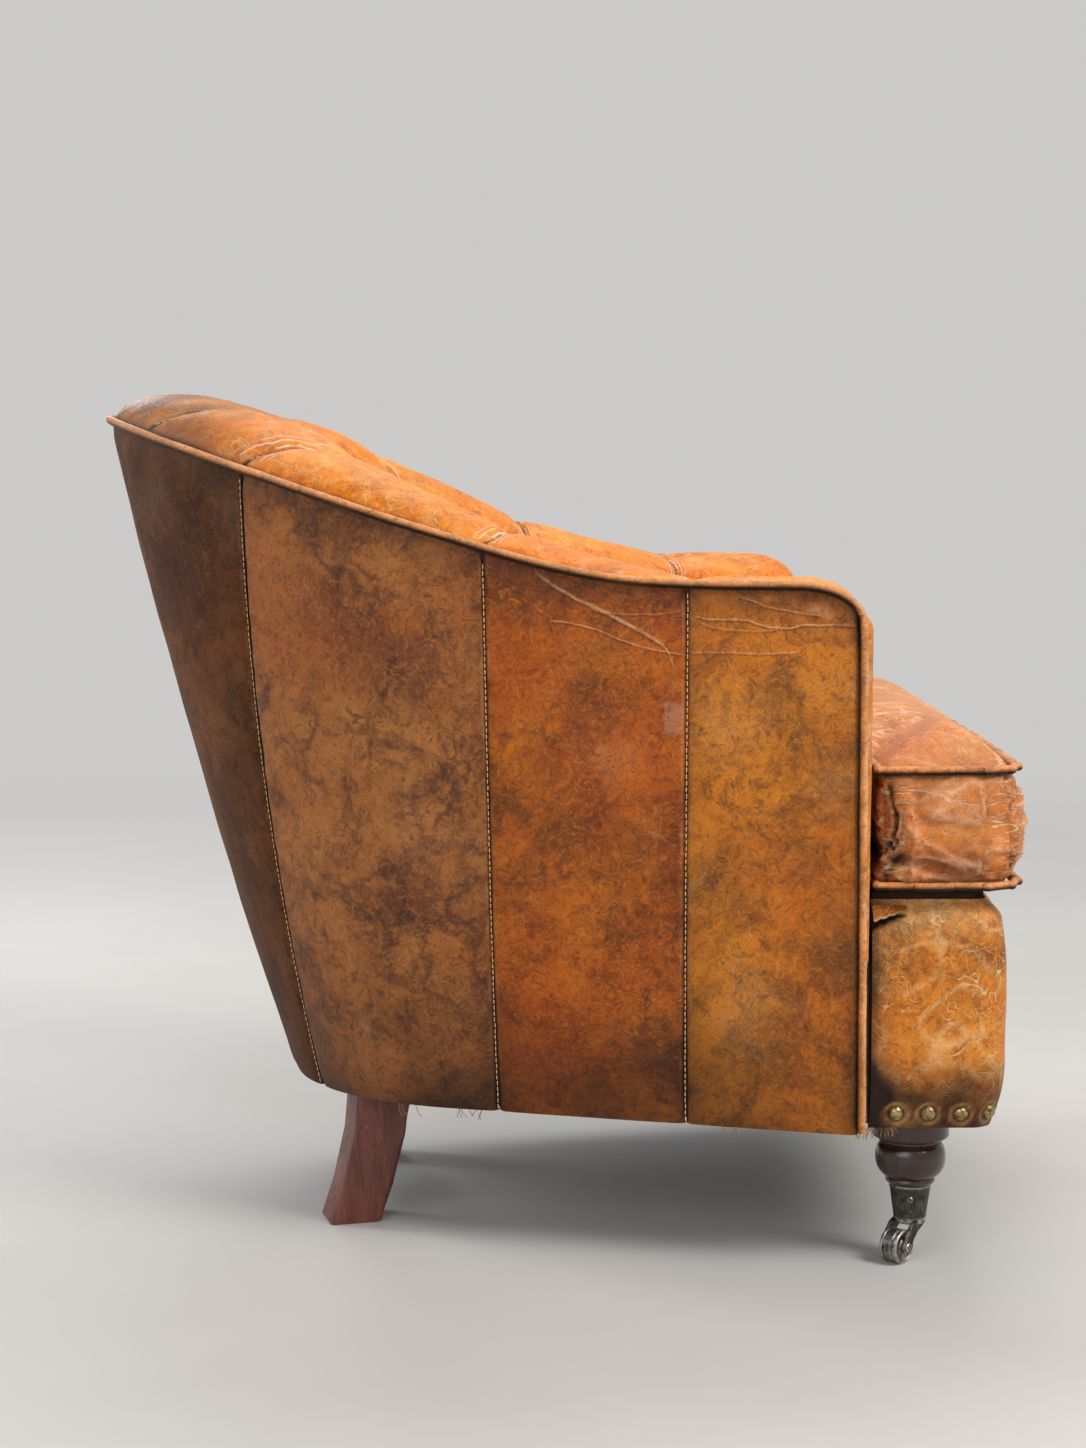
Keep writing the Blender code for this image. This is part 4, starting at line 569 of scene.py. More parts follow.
def scuff(s, corner_low, corner_high, depth_y=PHOTO_SIDE_Y):
    """A rubbed patch between two pixels of the photograph, on the photographed side."""
    low = photo_point(corner_low[0], corner_high[1], depth_y)
    high = photo_point(corner_high[0], corner_low[1], depth_y)
    split = s.add("ShaderNodeSeparateXYZ")
    s.feed(split.inputs[0], s.warped(0.003, 120.0))
    soft = 0.0012
    mask = s.range(split.outputs[0], low.x - soft, low.x + soft)
    mask = s.times(mask, s.range(split.outputs[0], high.x - soft, high.x + soft, 1.0, 0.0))
    mask = s.times(mask, s.range(split.outputs[2], low.z - soft, low.z + soft))
    mask = s.times(mask, s.range(split.outputs[2], high.z - soft, high.z + soft, 1.0, 0.0))
    lines = s.noise(30.0, 4.0, 0.7, vector=s.mapped(scale=(1.0, 1.0, 14.0)))
    return s.times(mask, s.math("LESS_THAN", split.outputs[1], 0.0), s.range(lines, 0.3, 0.6, 0.35, 1.0))


def wood(name, light, dark, scale=(30.0, 30.0, 4.0), roughness=0.35, coat=0.0, worn=(0.3, 0.2, 0.12),
         wear=0.25, grain=0.6):
    s = Shader(name)
    stretched = s.mapped(scale=scale)
    rings = s.noise(1.6, 6.0, 0.65, 1.2, stretched)
    pores = s.noise(16.0, 3.0, 0.6, vector=stretched)
    colour = s.blend(s.range(rings, 0.35, 0.65), dark, light)
    colour = s.blend(s.times(s.range(pores, 0.55, 0.75), grain), colour, tuple(c * 0.35 for c in dark))
    chips = s.times(s.range(s.noise(55.0, 5.0, 0.75), 0.60, 0.70), s.range(s.noise(9.0), 0.45, 0.6))
    edges = s.add("ShaderNodeNewGeometry").outputs["Pointiness"]
    rubbed = s.math("MAXIMUM", chips, s.range(edges, 0.53, 0.60))
    colour = s.blend(s.times(rubbed, wear), colour, worn)
    s.bumps((pores, -0.0003), (rings, 0.0002))
    return s.finish(colour, s.range(pores, 0.3, 0.7, roughness - 0.08, roughness + 0.12), coat=coat,
                    coat_roughness=0.18)


def metal(name, light, dark, bright, roughness=0.42, metallic=0.85, wear=0.8):
    s = Shader(name)
    blotches = s.noise(90.0, 6.0, 0.7, 0.5)
    colour = s.blend(s.range(blotches, 0.38, 0.64), dark, light)
    edges = s.add("ShaderNodeNewGeometry").outputs["Pointiness"]
    rub = s.times(s.range(edges, 0.52, 0.57), s.range(s.noise(260.0, 4.0), 0.3, 0.55), wear)
    scratches = s.lines(300.0, 0.02, s.mapped(scale=(1.0, 1.0, 0.12)))
    colour = s.blend(s.times(scratches, 0.25), colour, bright)
    colour = s.blend(rub, colour, bright)
    s.bumps((blotches, 0.0002), (s.noise(700.0, 3.0), 0.00008))
    rough = s.range(blotches, 0.3, 0.7, roughness - 0.1, roughness + 0.15)
    return s.finish(colour, s.math("SUBTRACT", rough, s.times(rub, 0.12)), metallic)


def brass():
    s = Shader("antique brass")
    blotches = s.noise(160.0, 6.0, 0.7, 0.4)
    colour = s.blend(s.range(blotches, 0.36, 0.62), (0.13, 0.085, 0.03), (0.47, 0.36, 0.17))
    edges = s.add("ShaderNodeNewGeometry").outputs["Pointiness"]
    colour = s.blend(s.range(edges, 0.47, 0.40), colour, (0.03, 0.02, 0.01))
    s.bumps((blotches, 0.0003),)
    return s.finish(colour, s.range(blotches, 0.3, 0.7, 0.40, 0.24), 1.0)


def woven(name, light, dark, pitch, roughness=0.95):
    """Plain woven cloth: threads over and under each other."""
    s = Shader(name)
    split = s.add("ShaderNodeSeparateXYZ")
    s.feed(split.inputs[0], s.warped(pitch * 0.4, 90.0))
    across = s.math("SINE", s.times(split.outputs[0], 2.0 * math.pi / pitch))
    along = s.math("SINE", s.times(split.outputs[1], 2.0 * math.pi / pitch))
    height = s.math("MULTIPLY_ADD", s.times(across, along), 0.5, 0.5)
    fuzz = s.noise(900.0, 3.0)
    colour = s.blend(s.range(height, 0.1, 0.8), dark, light)
    colour = s.blend(s.times(s.range(s.noise(25.0, 4.0), 0.45, 0.7), 0.4), colour, dark)
    s.bumps((height, pitch * 0.25), (fuzz, 0.0002))
    return s.finish(colour, roughness, specular=0.2)


def spring_wire():
    s = Shader("spring wire")
    rust = s.range(s.noise(120.0, 5.0, 0.7), 0.5, 0.66)
    colour = s.blend(rust, (0.30, 0.30, 0.30), (0.16, 0.07, 0.03))
    s.bumps((rust, 0.0002),)
    return s.finish(colour, s.range(rust, 0.0, 1.0, 0.35, 0.8), 0.9)


def thread(name, dark, light):
    s = Shader(name)
    twist = s.noise(1200.0, 2.0)
    colour = s.blend(s.range(twist, 0.35, 0.65), dark, light)
    s.bumps((twist, 0.0002),)
    return s.finish(colour, 0.7)


# The scratches and creases of the photographed side, as pixels of the photograph.
LONG_SCRATCH = ((536, 570), (566, 590), (608, 611), (647, 632), (666, 645), (674, 662), (677.5, 677))
WAVY_SCRATCH = ((549, 618), (593, 626), (627, 640), (670, 650), (686, 652))
TOP_SCRATCH = ((590, 604), (640, 612), (684, 608))
MIDDLE_MARKS = (
    ((LONG_SCRATCH, 0.0023), 0.60),
    ((WAVY_SCRATCH, 0.0009), 0.50),
    ((TOP_SCRATCH, 0.0008), 0.35),
)
FRONT_CREASES = (
    ((691, 607), (715, 617), (742, 617), (760, 622), (783, 625.5), (807, 622.5), (859, 623)),
    ((737, 593), (762, 602), (786, 608), (822, 613)),
    ((690, 652), (730, 650), (762, 651), (801, 647)),
    ((697, 613), (712, 624), (742, 628), (780, 627)),
)
FRONT_MARKS = tuple(((line, 0.0011 - 0.0001 * n), 0.62 - 0.08 * n) for n, line in enumerate(FRONT_CREASES))
SCUFF_PATCH = ((666, 701), (686, 733))

# Large uneven patches of the photographed side: a pixel of the photograph, a radius in metres, and
# how strong the patch is, paler above zero and darker below. The pale patches on the rear panel and
# the first two pale patches on the front panel, near its front edge, are painted highlights.
REAR_PATCHES_AND_HIGHLIGHTS = (
    ((350, 850), 0.085, 0.42), ((408, 880), 0.075, 0.38), ((372, 960), 0.070, 0.30), ((455, 805), 0.060, -0.75),
    ((312, 590), 0.070, -0.70), ((385, 660), 0.085, -0.60), ((277, 880), 0.060, -0.60), ((445, 990), 0.055, -0.60),
    ((345, 1090), 0.080, -0.45),
)
MIDDLE_SPOTS = (
    ((612, 750), 0.055, 0.14), ((590, 865), 0.060, -0.75), ((520, 815), 0.060, -0.70), ((655, 860), 0.050, -0.70),
    ((590, 1045), 0.075, -0.60), ((520, 600), 0.060, -0.40), ((600, 660), 0.060, -0.35),
)
# The first two pale patches, near the front edge, are painted highlights.
FRONT_PATCHES_AND_HIGHLIGHTS = (
    ((838, 700), 0.055, 0.20), ((845, 790), 0.040, 0.14), ((765, 604), 0.045, -0.65), ((828, 604), 0.050, -0.70),
    ((713, 885), 0.055, -0.70), ((835, 955), 0.065, -0.75), ((768, 668), 0.035, -0.55), ((742, 1025), 0.060, 0.18),
    ((800, 840), 0.040, -0.45), ((725, 720), 0.050, 0.16),
)

TAN_PALE = (0.78, 0.42, 0.20)
LEATHERS = {
    "back": leather("leather back", (0.19, 0.064, 0.016), (0.092, 0.028, 0.007), (0.024, 0.008, 0.004),
                    (0.34, 0.19, 0.10), 3.1, veins=0.5, crackle=0.04, scratches=0.10, gloss=0.55, specular=0.10,
                    hairs=0.1),
    "rear": leather("leather rear panel", (0.46, 0.165, 0.038), (0.33, 0.096, 0.016), (0.066, 0.020, 0.010),
                    (0.66, 0.34, 0.16), 11.7, veins=0.8, crackle=0.06, scratches=0.10, hairs=0.12, spots=REAR_PATCHES_AND_HIGHLIGHTS),
    "middle": leather("leather middle panel", (0.56, 0.155, 0.008), (0.42, 0.082, 0.003), (0.090, 0.022, 0.005),
                      TAN_PALE, 23.9, veins=0.5, crackle=0.03, scratches=0.10, hairs=0.12, marks=MIDDLE_MARKS,
                      patch=SCUFF_PATCH, spots=MIDDLE_SPOTS),
    "front": leather("leather front panel", (0.62, 0.198, 0.012), (0.49, 0.132, 0.006), (0.110, 0.038, 0.007),
                     TAN_PALE, 31.3, veins=0.5, crackle=0.04, scratches=0.12, hairs=0.15, marks=FRONT_MARKS,
                     spots=FRONT_PATCHES_AND_HIGHLIGHTS, mottle=0.75),
    "pad": leather("leather channels", (0.98, 0.32, 0.018), (0.86, 0.225, 0.009), (0.26, 0.062, 0.007),
                   (0.98, 0.62, 0.26), 41.9, veins=0.3, crackle=0.45, scratches=0.5, cloud=8.0, pleats=0.9,
                   stain=0.5, mottle=0.3, hairs=0.3, specular=0.2),
    "cushion": leather("leather cushion", (0.76, 0.28, 0.060), (0.52, 0.145, 0.022), (0.17, 0.046, 0.010),
                       (0.96, 0.62, 0.38), 53.3, veins=0.3, crackle=0.25, scratches=0.3, cloud=8.0, streaks=0.5,
                       stain=0.5, mottle=0.35, hairs=0.25, streaked=0.7, gloss=0.36),
    "border": leather("leather border", (0.76, 0.27, 0.028), (0.56, 0.17, 0.012), (0.13, 0.042, 0.007),
                      (0.95, 0.62, 0.28), 67.7, veins=0.4, crackle=0.25, scratches=0.55, cloud=8.0, stain=0.7,
                      mottle=0.5, hairs=0.62),
    "facing": leather("leather facings", (0.80, 0.31, 0.045), (0.60, 0.19, 0.018), (0.20, 0.06, 0.012),
                      (0.95, 0.62, 0.33), 71.3, veins=0.3, crackle=0.35, scratches=0.4, cloud=9.0, stain=0.5,
                      mottle=0.35, hairs=0.4),
    "piping": leather("leather piping", (0.88, 0.34, 0.085), (0.62, 0.205, 0.035), (0.13, 0.040, 0.010),
                      (0.98, 0.64, 0.38), 83.1, veins=0.0, crackle=0.3, scratches=0.4, cloud=22.0, stain=0.4,
                      mottle=0.3, hairs=0.2),
}
MAHOGANY = wood("glossy mahogany", (0.046, 0.014, 0.009), (0.022, 0.009, 0.007), roughness=0.22, coat=0.35,
                wear=0.12, grain=0.2)
MAHOGANY_WORN = wood("worn mahogany", (0.20, 0.055, 0.034), (0.095, 0.024, 0.017), roughness=0.42,
                     worn=(0.42, 0.26, 0.18), wear=0.4)
FRAME_WOOD = wood("frame wood", (0.46, 0.31, 0.18), (0.30, 0.19, 0.10), roughness=0.75, wear=0.1)
IRON = metal("dark caster iron", (0.085, 0.078, 0.070), (0.022, 0.020, 0.019), (0.50, 0.47, 0.42))
WHEEL = metal("worn wheel metal", (0.30, 0.28, 0.24), (0.035, 0.032, 0.030), (0.75, 0.72, 0.66), roughness=0.36)
BRASS = brass()
THREAD = thread("waxed thread", (0.56, 0.28, 0.10), (0.95, 0.66, 0.36))
FRAYED = thread("frayed ends", (0.16, 0.07, 0.03), (0.46, 0.22, 0.09))
SPRING = spring_wire()
# The platform cloth is made very dark: partly its own colour, partly painted shade for the gap under the cushion.
DECK_CLOTH = woven("brown platform cloth", (0.060, 0.036, 0.022), (0.020, 0.012, 0.008), 0.0018)
DUST_CLOTH = woven("black lining cloth", (0.020, 0.020, 0.021), (0.006, 0.006, 0.006), 0.0013)


# Meshes


def make_mesh(name, points, faces, material, body="root", tones=None, sharp=50.0):
    data = bpy.data.meshes.new(name)
    data.from_pydata([tuple(p) for p in points], [], faces)
    if tones is not None:
        paint = data.color_attributes.new("tone", "FLOAT_COLOR", "POINT")
        given = np.asarray(tones, dtype=np.float32)
        values = np.ones((len(points), 4), dtype=np.float32)
        values[:, : given.shape[1]] = np.clip(given, 0.0, 1.0)
        paint.data.foreach_set("color", values.ravel())
    bm = bmesh.new()
    bm.from_mesh(data)
    bmesh.ops.remove_doubles(bm, verts=bm.verts, dist=0.000002)
    bmesh.ops.recalc_face_normals(bm, faces=bm.faces)
    bm.to_mesh(data)
    bm.free()
    data.shade_smooth()
    data.set_sharp_from_angle(angle=math.radians(sharp))
    data.materials.append(material)
    made = bpy.data.objects.new(name, data)
    bpy.context.scene.collection.objects.link(made)
    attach(made, body)
    return made


def ring_faces(rows, count, start=0):
    """Quads between closed rings of count points each, with both ends capped."""
    faces = []
    for r in range(rows - 1):
        for i in range(count):
            j = (i + 1) % count
            a, b = start + r * count, start + (r + 1) * count
            faces.append((a + i, a + j, b + j, b + i))
    faces.append(tuple(start + i for i in reversed(range(count))))
    faces.append(tuple(start + (rows - 1) * count + i for i in range(count)))
    return faces


def grid_normals(grid):
    along = np.gradient(grid, axis=0)
    across = np.gradient(grid, axis=1)
    normals = np.cross(along, across)
    return normals / np.maximum(np.linalg.norm(normals, axis=2, keepdims=True), 1e-9)


def closed_sheet(name, grid, thickness, tones, material, body="root"):
    """A grid of points whose normals face out, with its thickness behind it."""
    rows, columns = grid.shape[:2]
    back = grid - grid_normals(grid) * thickness
    points = np.concatenate([grid.reshape(-1, 3), back.reshape(-1, 3)])
    size = rows * columns
    faces = []
    for r in range(rows - 1):
        for c in range(columns - 1):
            a = r * columns + c
            b = a + columns
            faces.append((a, a + 1, b + 1, b))
            faces.append((size + b, size + b + 1, size + a + 1, size + a))
    rim = [c for c in range(columns)]
    rim += [r * columns + columns - 1 for r in range(1, rows)]
    rim += [(rows - 1) * columns + c for c in reversed(range(columns - 1))]
    rim += [r * columns for r in reversed(range(1, rows - 1))]
    for a, b in zip(rim, rim[1:] + rim[:1]):
        faces.append((b, a, size + a, size + b))
    both = np.concatenate([tones.reshape(-1, tones.shape[2])] * 2)
    return make_mesh(name, points, faces, material, body, both)


def sweep_frames(points, cyclic=False):
    """Two directions across a line at each point, without twist."""
    count = len(points)
    along = []
    for n in range(count):
        before = points[n - 1] if cyclic or n > 0 else points[n]
        after = points[(n + 1) % count] if cyclic or n < count - 1 else points[n]
        along.append((after - before).normalized())
    up = Vector((0.0, 0.0, 1.0)) if abs(along[0].z) < 0.9 else Vector((0.0, 1.0, 0.0))
    frames = []
    for t in along:
        if abs(t.z) < 0.93:
            up = Vector((0.0, 0.0, 1.0))
        side = t.cross(up).normalized()
        up = side.cross(t).normalized()
        frames.append((side, up))
    return frames


def tube_parts(points, radius, sides=10, cyclic=False, radii=None, start=0):
    """Points and faces of a round tube along a line."""
    frames = sweep_frames(points, cyclic)
    spots = []
    for n, (p, (side, up)) in enumerate(zip(points, frames)):
        size = radius * (radii[n] if radii is not None else 1.0)
        for i in range(sides):
            angle = 2.0 * math.pi * i / sides
            spots.append(p + side * (math.cos(angle) * size) + up * (math.sin(angle) * size))
    rows = len(points)
    faces = ring_faces(rows, sides, start)
    if cyclic:
        faces = faces[:-2]
        last = start + (rows - 1) * sides
        faces += [(last + i, last + (i + 1) % sides, start + (i + 1) % sides, start + i) for i in range(sides)]
    return spots, faces


def resample(points, spacing, cyclic=False):
    """The same line with even spacing."""
    line = list(points) + ([points[0]] if cyclic else [])
    lengths = [0.0]
    for a, b in zip(line, line[1:]):
        lengths.append(lengths[-1] + (b - a).length)
    count = max(2, round(lengths[-1] / spacing))
    found = []
    n = 0
    for k in range(count if cyclic else count + 1):
        travel = lengths[-1] * k / count
        while n < len(line) - 2 and lengths[n + 1] < travel:
            n += 1
        found.append(line[n].lerp(line[n + 1], (travel - lengths[n]) / max(1e-9, lengths[n + 1] - lengths[n])))
    return found


def smoothed(points, passes, cyclic=False):
    line = list(points)
    for _ in range(passes):
        before = line[-1:] + line[:-1]
        after = line[1:] + line[:1]
        fresh = [p * 0.5 + (a + b) * 0.25 for p, a, b in zip(line, before, after)]
        if not cyclic:
            fresh[0], fresh[-1] = line[0], line[-1]
        line = fresh
    return line


# Outer leather


def panel_tone(p, edge_gap, rise):
    """Shade, wear and warmth of the outer leather at a point. edge_gap is the distance to the nearest seam."""
    shade = 0.80 * math.exp(-((edge_gap / 0.0013) ** 2))
    shade += 0.42 * math.exp(-edge_gap / 0.016) * (0.5 + 0.8 * wave(p, 18.0, 5.0))
    shade += 0.74 * smoothstep(0.28, 0.0, rise) * (0.80 + 0.8 * wave(p, 9.0, 8.0))
    shade += 0.45 * smoothstep(0.93, 1.0, rise)
    wear = 0.30 * math.exp(-(((edge_gap - 0.0034) / 0.0014) ** 2)) * max(0.0, 0.5 + wave(p, 60.0, 2.0))
    warmth = max(0.0, wave(p, 6.0, 17.0)) * 0.9
    return shade, wear, warmth, edge_gap / SEAM_REACH


def outer_panel(node, seam_a, seam_b, side, finish, columns, front_edge=False):
    """One leather panel between two seams: a little full, pinched at its seams, pulled into soft folds."""
    rows = 112
    fractions = eased_steps(columns, 0.8)
    trim = WELT_RADIUS + SEAT_GAP
    grid = np.zeros((rows + 1, columns + 1, 3))
    tones = np.zeros((rows + 1, columns + 1, 4))
    gaps = np.zeros((rows + 1, columns + 1))
    for r in range(rows + 1):
        rise = r / rows
        a, b = mix(seam_a[0], seam_a[1], rise), mix(seam_b[0], seam_b[1], rise)
        line = []
        for fraction in fractions:
            share = mix(a, b, fraction)
            p = shell_point(abs(share), rise)
            top = edge_height(abs(share)) - trim - corner_drop(abs(share), trim)
            height = mix(SHELL_BOTTOM_Z, top, rise)
            line.append(Vector((p.x, p.y * side * (1.0 if share >= 0.0 else -1.0), height)))
        width = sum((q - p).length for p, q in zip(line, line[1:]))
        grid[r] = [tuple(p) for p in line]
        gaps[r] = [min(f, 1.0 - f) * width for f in fractions]
    normals = grid_normals(grid)
    middle = np.array((0.0, 0.0, 0.4))
    if (normals * (grid - middle)).sum() < 0.0:
        grid, gaps = grid[:, ::-1].copy(), gaps[:, ::-1].copy()
        normals = grid_normals(grid)
    for r in range(rows + 1):
        rise = r / rows
        for c in range(columns + 1):
            p, gap = grid[r, c], gaps[r, c]
            pinch = -0.0026 * math.exp(-((gap / 0.0030) ** 2)) - 0.0012 * math.exp(-gap / 0.012)
            pucker = 0.0009 * wave(p, (12.0, 12.0, 75.0), 3.0) * math.exp(-gap / 0.014)
            soft = 0.0016 * wave(p, 7.0, 21.0) + 0.0007 * wave(p, 19.0, 27.0)
            soft += 0.0005 * wave(p, (60.0, 60.0, 22.0), 33.0)
            edge = -0.0022 * smoothstep(0.975, 1.0, rise) - 0.0020 * smoothstep(0.022, 0.0, rise)
            fold = 0.0010 * wave(p, (9.0, 9.0, 2.0), 41.0) * smoothstep(0.35, 0.0, rise)
            fade = smoothstep(0.0, 0.02, gap) * smoothstep(0.0, 0.04, rise)
            if finish == "front":
                corner = smoothstep(0.020, 0.002, abs(p[2] - 0.626)) * smoothstep(0.215, 0.245, p[0])
                fade = fade * (1.0 - corner) + corner
                soft += 0.0036 * corner * wave(p, (62.0, 10.0, 90.0), 44.0)
            grid[r, c] += normals[r, c] * (pinch + pucker + edge + (soft + fold) * fade)
            tones[r, c] = panel_tone(p, gap, rise)
            # On the dimpled front corner: painted shade in the dips and painted highlight on the crests.
            if finish == "front":
                pucker = wave(p, (62.0, 10.0, 90.0), 44.0)
                tones[r, c, 0] += 1.1 * corner * max(0.0, -pucker)
                tones[r, c, 1] += 0.9 * corner * max(0.0, pucker)
            # On the back: less painted shade, and a pale band along the top that is partly rubbed leather and partly a
            # painted highlight.
            if finish == "back":
                tones[r, c, 0] *= 0.6
                tones[r, c, 1] += 0.30 * smoothstep(0.80, 0.97, rise) * max(0.0, 0.3 + wave(p, 16.0, 4.0))
    panel = closed_sheet(f"{node}_leather", grid, PANEL_THICKNESS * 0.6, tones, LEATHERS[finish])
    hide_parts(node)
    return panel


def moved(seam, amount):
    return seam[0] + amount, seam[1] + amount


def outer_panels():
    gap = 0.0004
    trim = (WELT_RADIUS + SEAT_GAP) / (SHELL_FRONT_X - TOP_SHOULDER[0]) * (1.0 - SHOULDER_SHARE)
    end = 1.0 - trim
    fine = 62
    for side in SIDES:
        label = side_name(side)
        outer_panel(f"outer_panel_{label}_rear", moved(REAR_SEAM, gap), moved(MIDDLE_SEAM, -gap), side, "rear", fine)
        outer_panel(f"outer_panel_{label}_middle", moved(MIDDLE_SEAM, gap), moved(FRONT_SEAM, -gap), side,
                    "middle", fine)
        outer_panel(f"outer_panel_{label}_front", moved(FRONT_SEAM, gap), (end, end), side, "front", fine)
    back = moved(REAR_SEAM, -gap)
    outer_panel("outer_panel_back", (-back[0], -back[1]), back, 1, "back", fine + 20)


def welt_line():
    half = [shell_point(s, 1.0) for s in even_steps(0.0, corner_share(), 120)]
    for step in range(1, 13):
        angle = math.radians(90.0 - 7.5 * step)
        z = ARM_EDGE_Z - ARM_CORNER_HEIGHT * (1.0 - math.sin(angle))
        p = shell_at_height(1.0, z)
        p.x = SHELL_FRONT_X - ARM_CORNER_LENGTH * (1.0 - math.cos(angle))
        half.append(p)
    low = SHELL_BOTTOM_Z + WELT_RADIUS
    half += [shell_at_height(1.0, z) for z in even_steps(ARM_EDGE_Z - ARM_CORNER_HEIGHT, low, 40)[1:]]
    return [Vector((p.x, -p.y, p.z)) for p in reversed(half[1:])] + half


def piping(name, node, line, radius, cyclic=False, seed=1.0, shaded_below=False):
    """Leather-covered cord: slightly uneven, with small creases across it, painted shade on its underside and, where
    the welt runs upright, on the side towards the panels, and a paler crown that is partly rubbed and partly painted
    highlight.
    """
    points = resample(line, 0.0024, cyclic)
    radii = [1.0 + 0.05 * wave(p, 90.0, seed) + 0.05 * wave(p, 300.0, seed + 4.0) for p in points]
    shift = [Vector((wave(p, 14.0, seed + 1), wave(p, 14.0, seed + 2), wave(p, 14.0, seed + 3))) * 0.0005
             for p in points]
    points = [p + d for p, d in zip(points, shift)]
    sides = 14
    spots, faces = tube_parts(points, radius, sides, cyclic, radii)
    tones = []
    for n, centre in enumerate(points):
        rub = 0.5 + 0.5 * wave(centre, 40.0, seed + 9.0)
        along = (points[min(n + 1, len(points) - 1)] - points[max(n - 1, 0)]).normalized()
        flat = math.hypot(along.x, along.y)
        out = Vector((-along.y, along.x, 0.0)) / flat if flat > 0.1 else Vector((0.0, math.copysign(1.0, centre.y), 0.0))
        upright = smoothstep(0.6, 0.95, abs(along.z))
        panel_way = -along.cross(out) if shaded_below else Vector((0.0, 0.0, -1.0))
        # Painted shade on the side that faces panel_way; on the other side a paler crown, partly rubbed leather and
        # partly painted highlight.
        for i in range(sides):
            away = (spots[n * sides + i] - centre).normalized()
            facing = away.dot(panel_way)
            dark = 0.94 * smoothstep(mix(-0.35, 0.45, upright), mix(0.42, 0.95, upright), facing)
            dark += 0.25 * smoothstep(0.5, -0.6, wave(centre, 25.0, seed))
            tones.append((dark, mix(0.40, 0.85, upright) * smoothstep(0.2, -0.8, facing) * rub, 0.2))
    made = make_mesh(name, spots, faces, LEATHERS["piping"], tones=tones, sharp=80.0)
    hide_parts(node)
    return made


# Channelled pads


def pad_profile(wall, counts):
    """Points across a channel from the welt over the roll and down the inner face, as (across, height)."""
    edge = wall.edge_z
    start = wall.outer(edge, WELT_RADIUS + 2 * SEAT_GAP)
    drop = mix(BACK_ROLL_DROP, ARM_ROLL_DROP, smoothstep(0.25, 0.75, wall.share))
    end_z = edge - drop
    end = wall.inner(end_z)
    reach = (roll_height(wall.share) + drop / 8.0) / 0.75
    controls = ((start, edge), (mix(start, end, 0.06), edge + reach), (end, edge + reach), (end, end_z))
    points = []
    for t in np.linspace(0.0, 1.0, counts[0]):
        v = 1.0 - t
        weights = (v**3, 3 * v * v * t, 3 * v * t * t, t**3)
        points.append([sum(w * c[k] for w, c in zip(weights, controls)) for k in (0, 1)])
    for z in np.linspace(end_z, PAD_BOTTOM_Z, counts[1])[1:]:
        points.append([wall.inner(z), z])
    return points, (mix(start, end, 0.5), edge - drop * 0.5)


def channel_pad(node, shares, finish="pad", front=False):
    """One stuffed channel: full between its seams, with a sewn groove and small pleats at each seam."""
    across = 44
    counts = ((40, 24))
    fractions = eased_steps(across, 0.85)
    top_rows, tones = [], []
    linings = []
    for fraction in fractions:
        share = mix(shares[0], shares[1], fraction)
        wall = WallSection(share)
        profile, middle = pad_profile(wall, counts)
        width = abs(shares[1] - shares[0]) * 0.80
        gap_low = fraction * width
        gap_high = (1.0 - fraction) * width
        if front:
            gap = gap_low
        else:
            gap = min(gap_low, gap_high)
        end = 1.0 if not front else (1.0 if fraction < 0.5 else 0.0)
        sag = 0.0075 * abs(2.0 * fraction - 1.0) ** 3.2 * end
        groove = (0.0045 * math.exp(-((gap / 0.0035) ** 2)) + 0.002 * math.exp(-gap / 0.010))
        row, tone = [], []
        for n, (a, z) in enumerate(profile):
            p = wall.place(a, z)
            t = n / counts[0]
            build = smoothstep(0.0, 0.22, t) * smoothstep(PAD_BOTTOM_Z, SEAT_LINE_Z, z)
            pleat = wave(p, (55.0, 55.0, 30.0), 2.0) * 0.0016 * math.exp(-gap / 0.020)
            rumple = 0.0018 * wave(p, 15.0, 9.0) + 0.0008 * wave(p, 42.0, 12.0)
            line = crease(p, (24.0, 24.0, 30.0), 31.0, 0.10) * 0.0009
            pull = (sag + groove) * build + (pleat - rumple + line) * min(1.0, build * 1.6)
            toward = Vector((middle[0] - a, middle[1] - z))
            if n >= counts[0]:
                toward = Vector((-1.0, 0.0))
            toward.normalize()
            place = wall.place(a + toward.x * pull, z + toward.y * pull)
            row.append(tuple(place))
            seam_dark = 0.75 * math.exp(-((gap / 0.0022) ** 2))
            folds = 0.5 * crease(p, (30.0, 30.0, 16.0), 51.0, 0.13) * math.exp(-gap / 0.022)
            low = smoothstep(0.56, 0.42, z)
            edge_dark = 0.5 * smoothstep(0.06, 0.0, t) + 0.40 * low
            edge_dark += 0.80 * smoothstep(-0.24, -0.36, p.x) * (0.85 + 0.5 * wave(p, 20.0, 77.0))
            rub = 0.25 * line / 0.0009
            near_seam = gap if build > 0.25 else SEAM_REACH
            tone.append((seam_dark + edge_dark, folds + rub, max(0.0, wave(p, 9.0, 71.0)) * 0.6,
                         near_seam / SEAM_REACH))
        under = wall.edge_z - ROLL_PADDING
        outer = [wall.place(wall.outer(under, PANEL_THICKNESS + 0.002), under)]
        lining = []
        for z in even_steps(PAD_BOTTOM_Z, under, 3):
            depth = mix(wall.outer(z), wall.inner(z), CHANNEL_LINING_SHARE)
            lining.append(tuple(wall.place(depth, z)))
        top_rows.append(row + lining + [tuple(outer[0])])
        tones.append(tone + [(0.8, 0.0, 0.0, 1.0)] * 5)
    count = len(top_rows[0])
    points = [p for row in top_rows for p in row]
    faces = ring_faces(len(top_rows), count)
    flat_tones = [t for row in tones for t in row]
    pad = make_mesh(f"{node}_leather", points, faces, LEATHERS[finish], tones=flat_tones)
    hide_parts(node)
    return pad


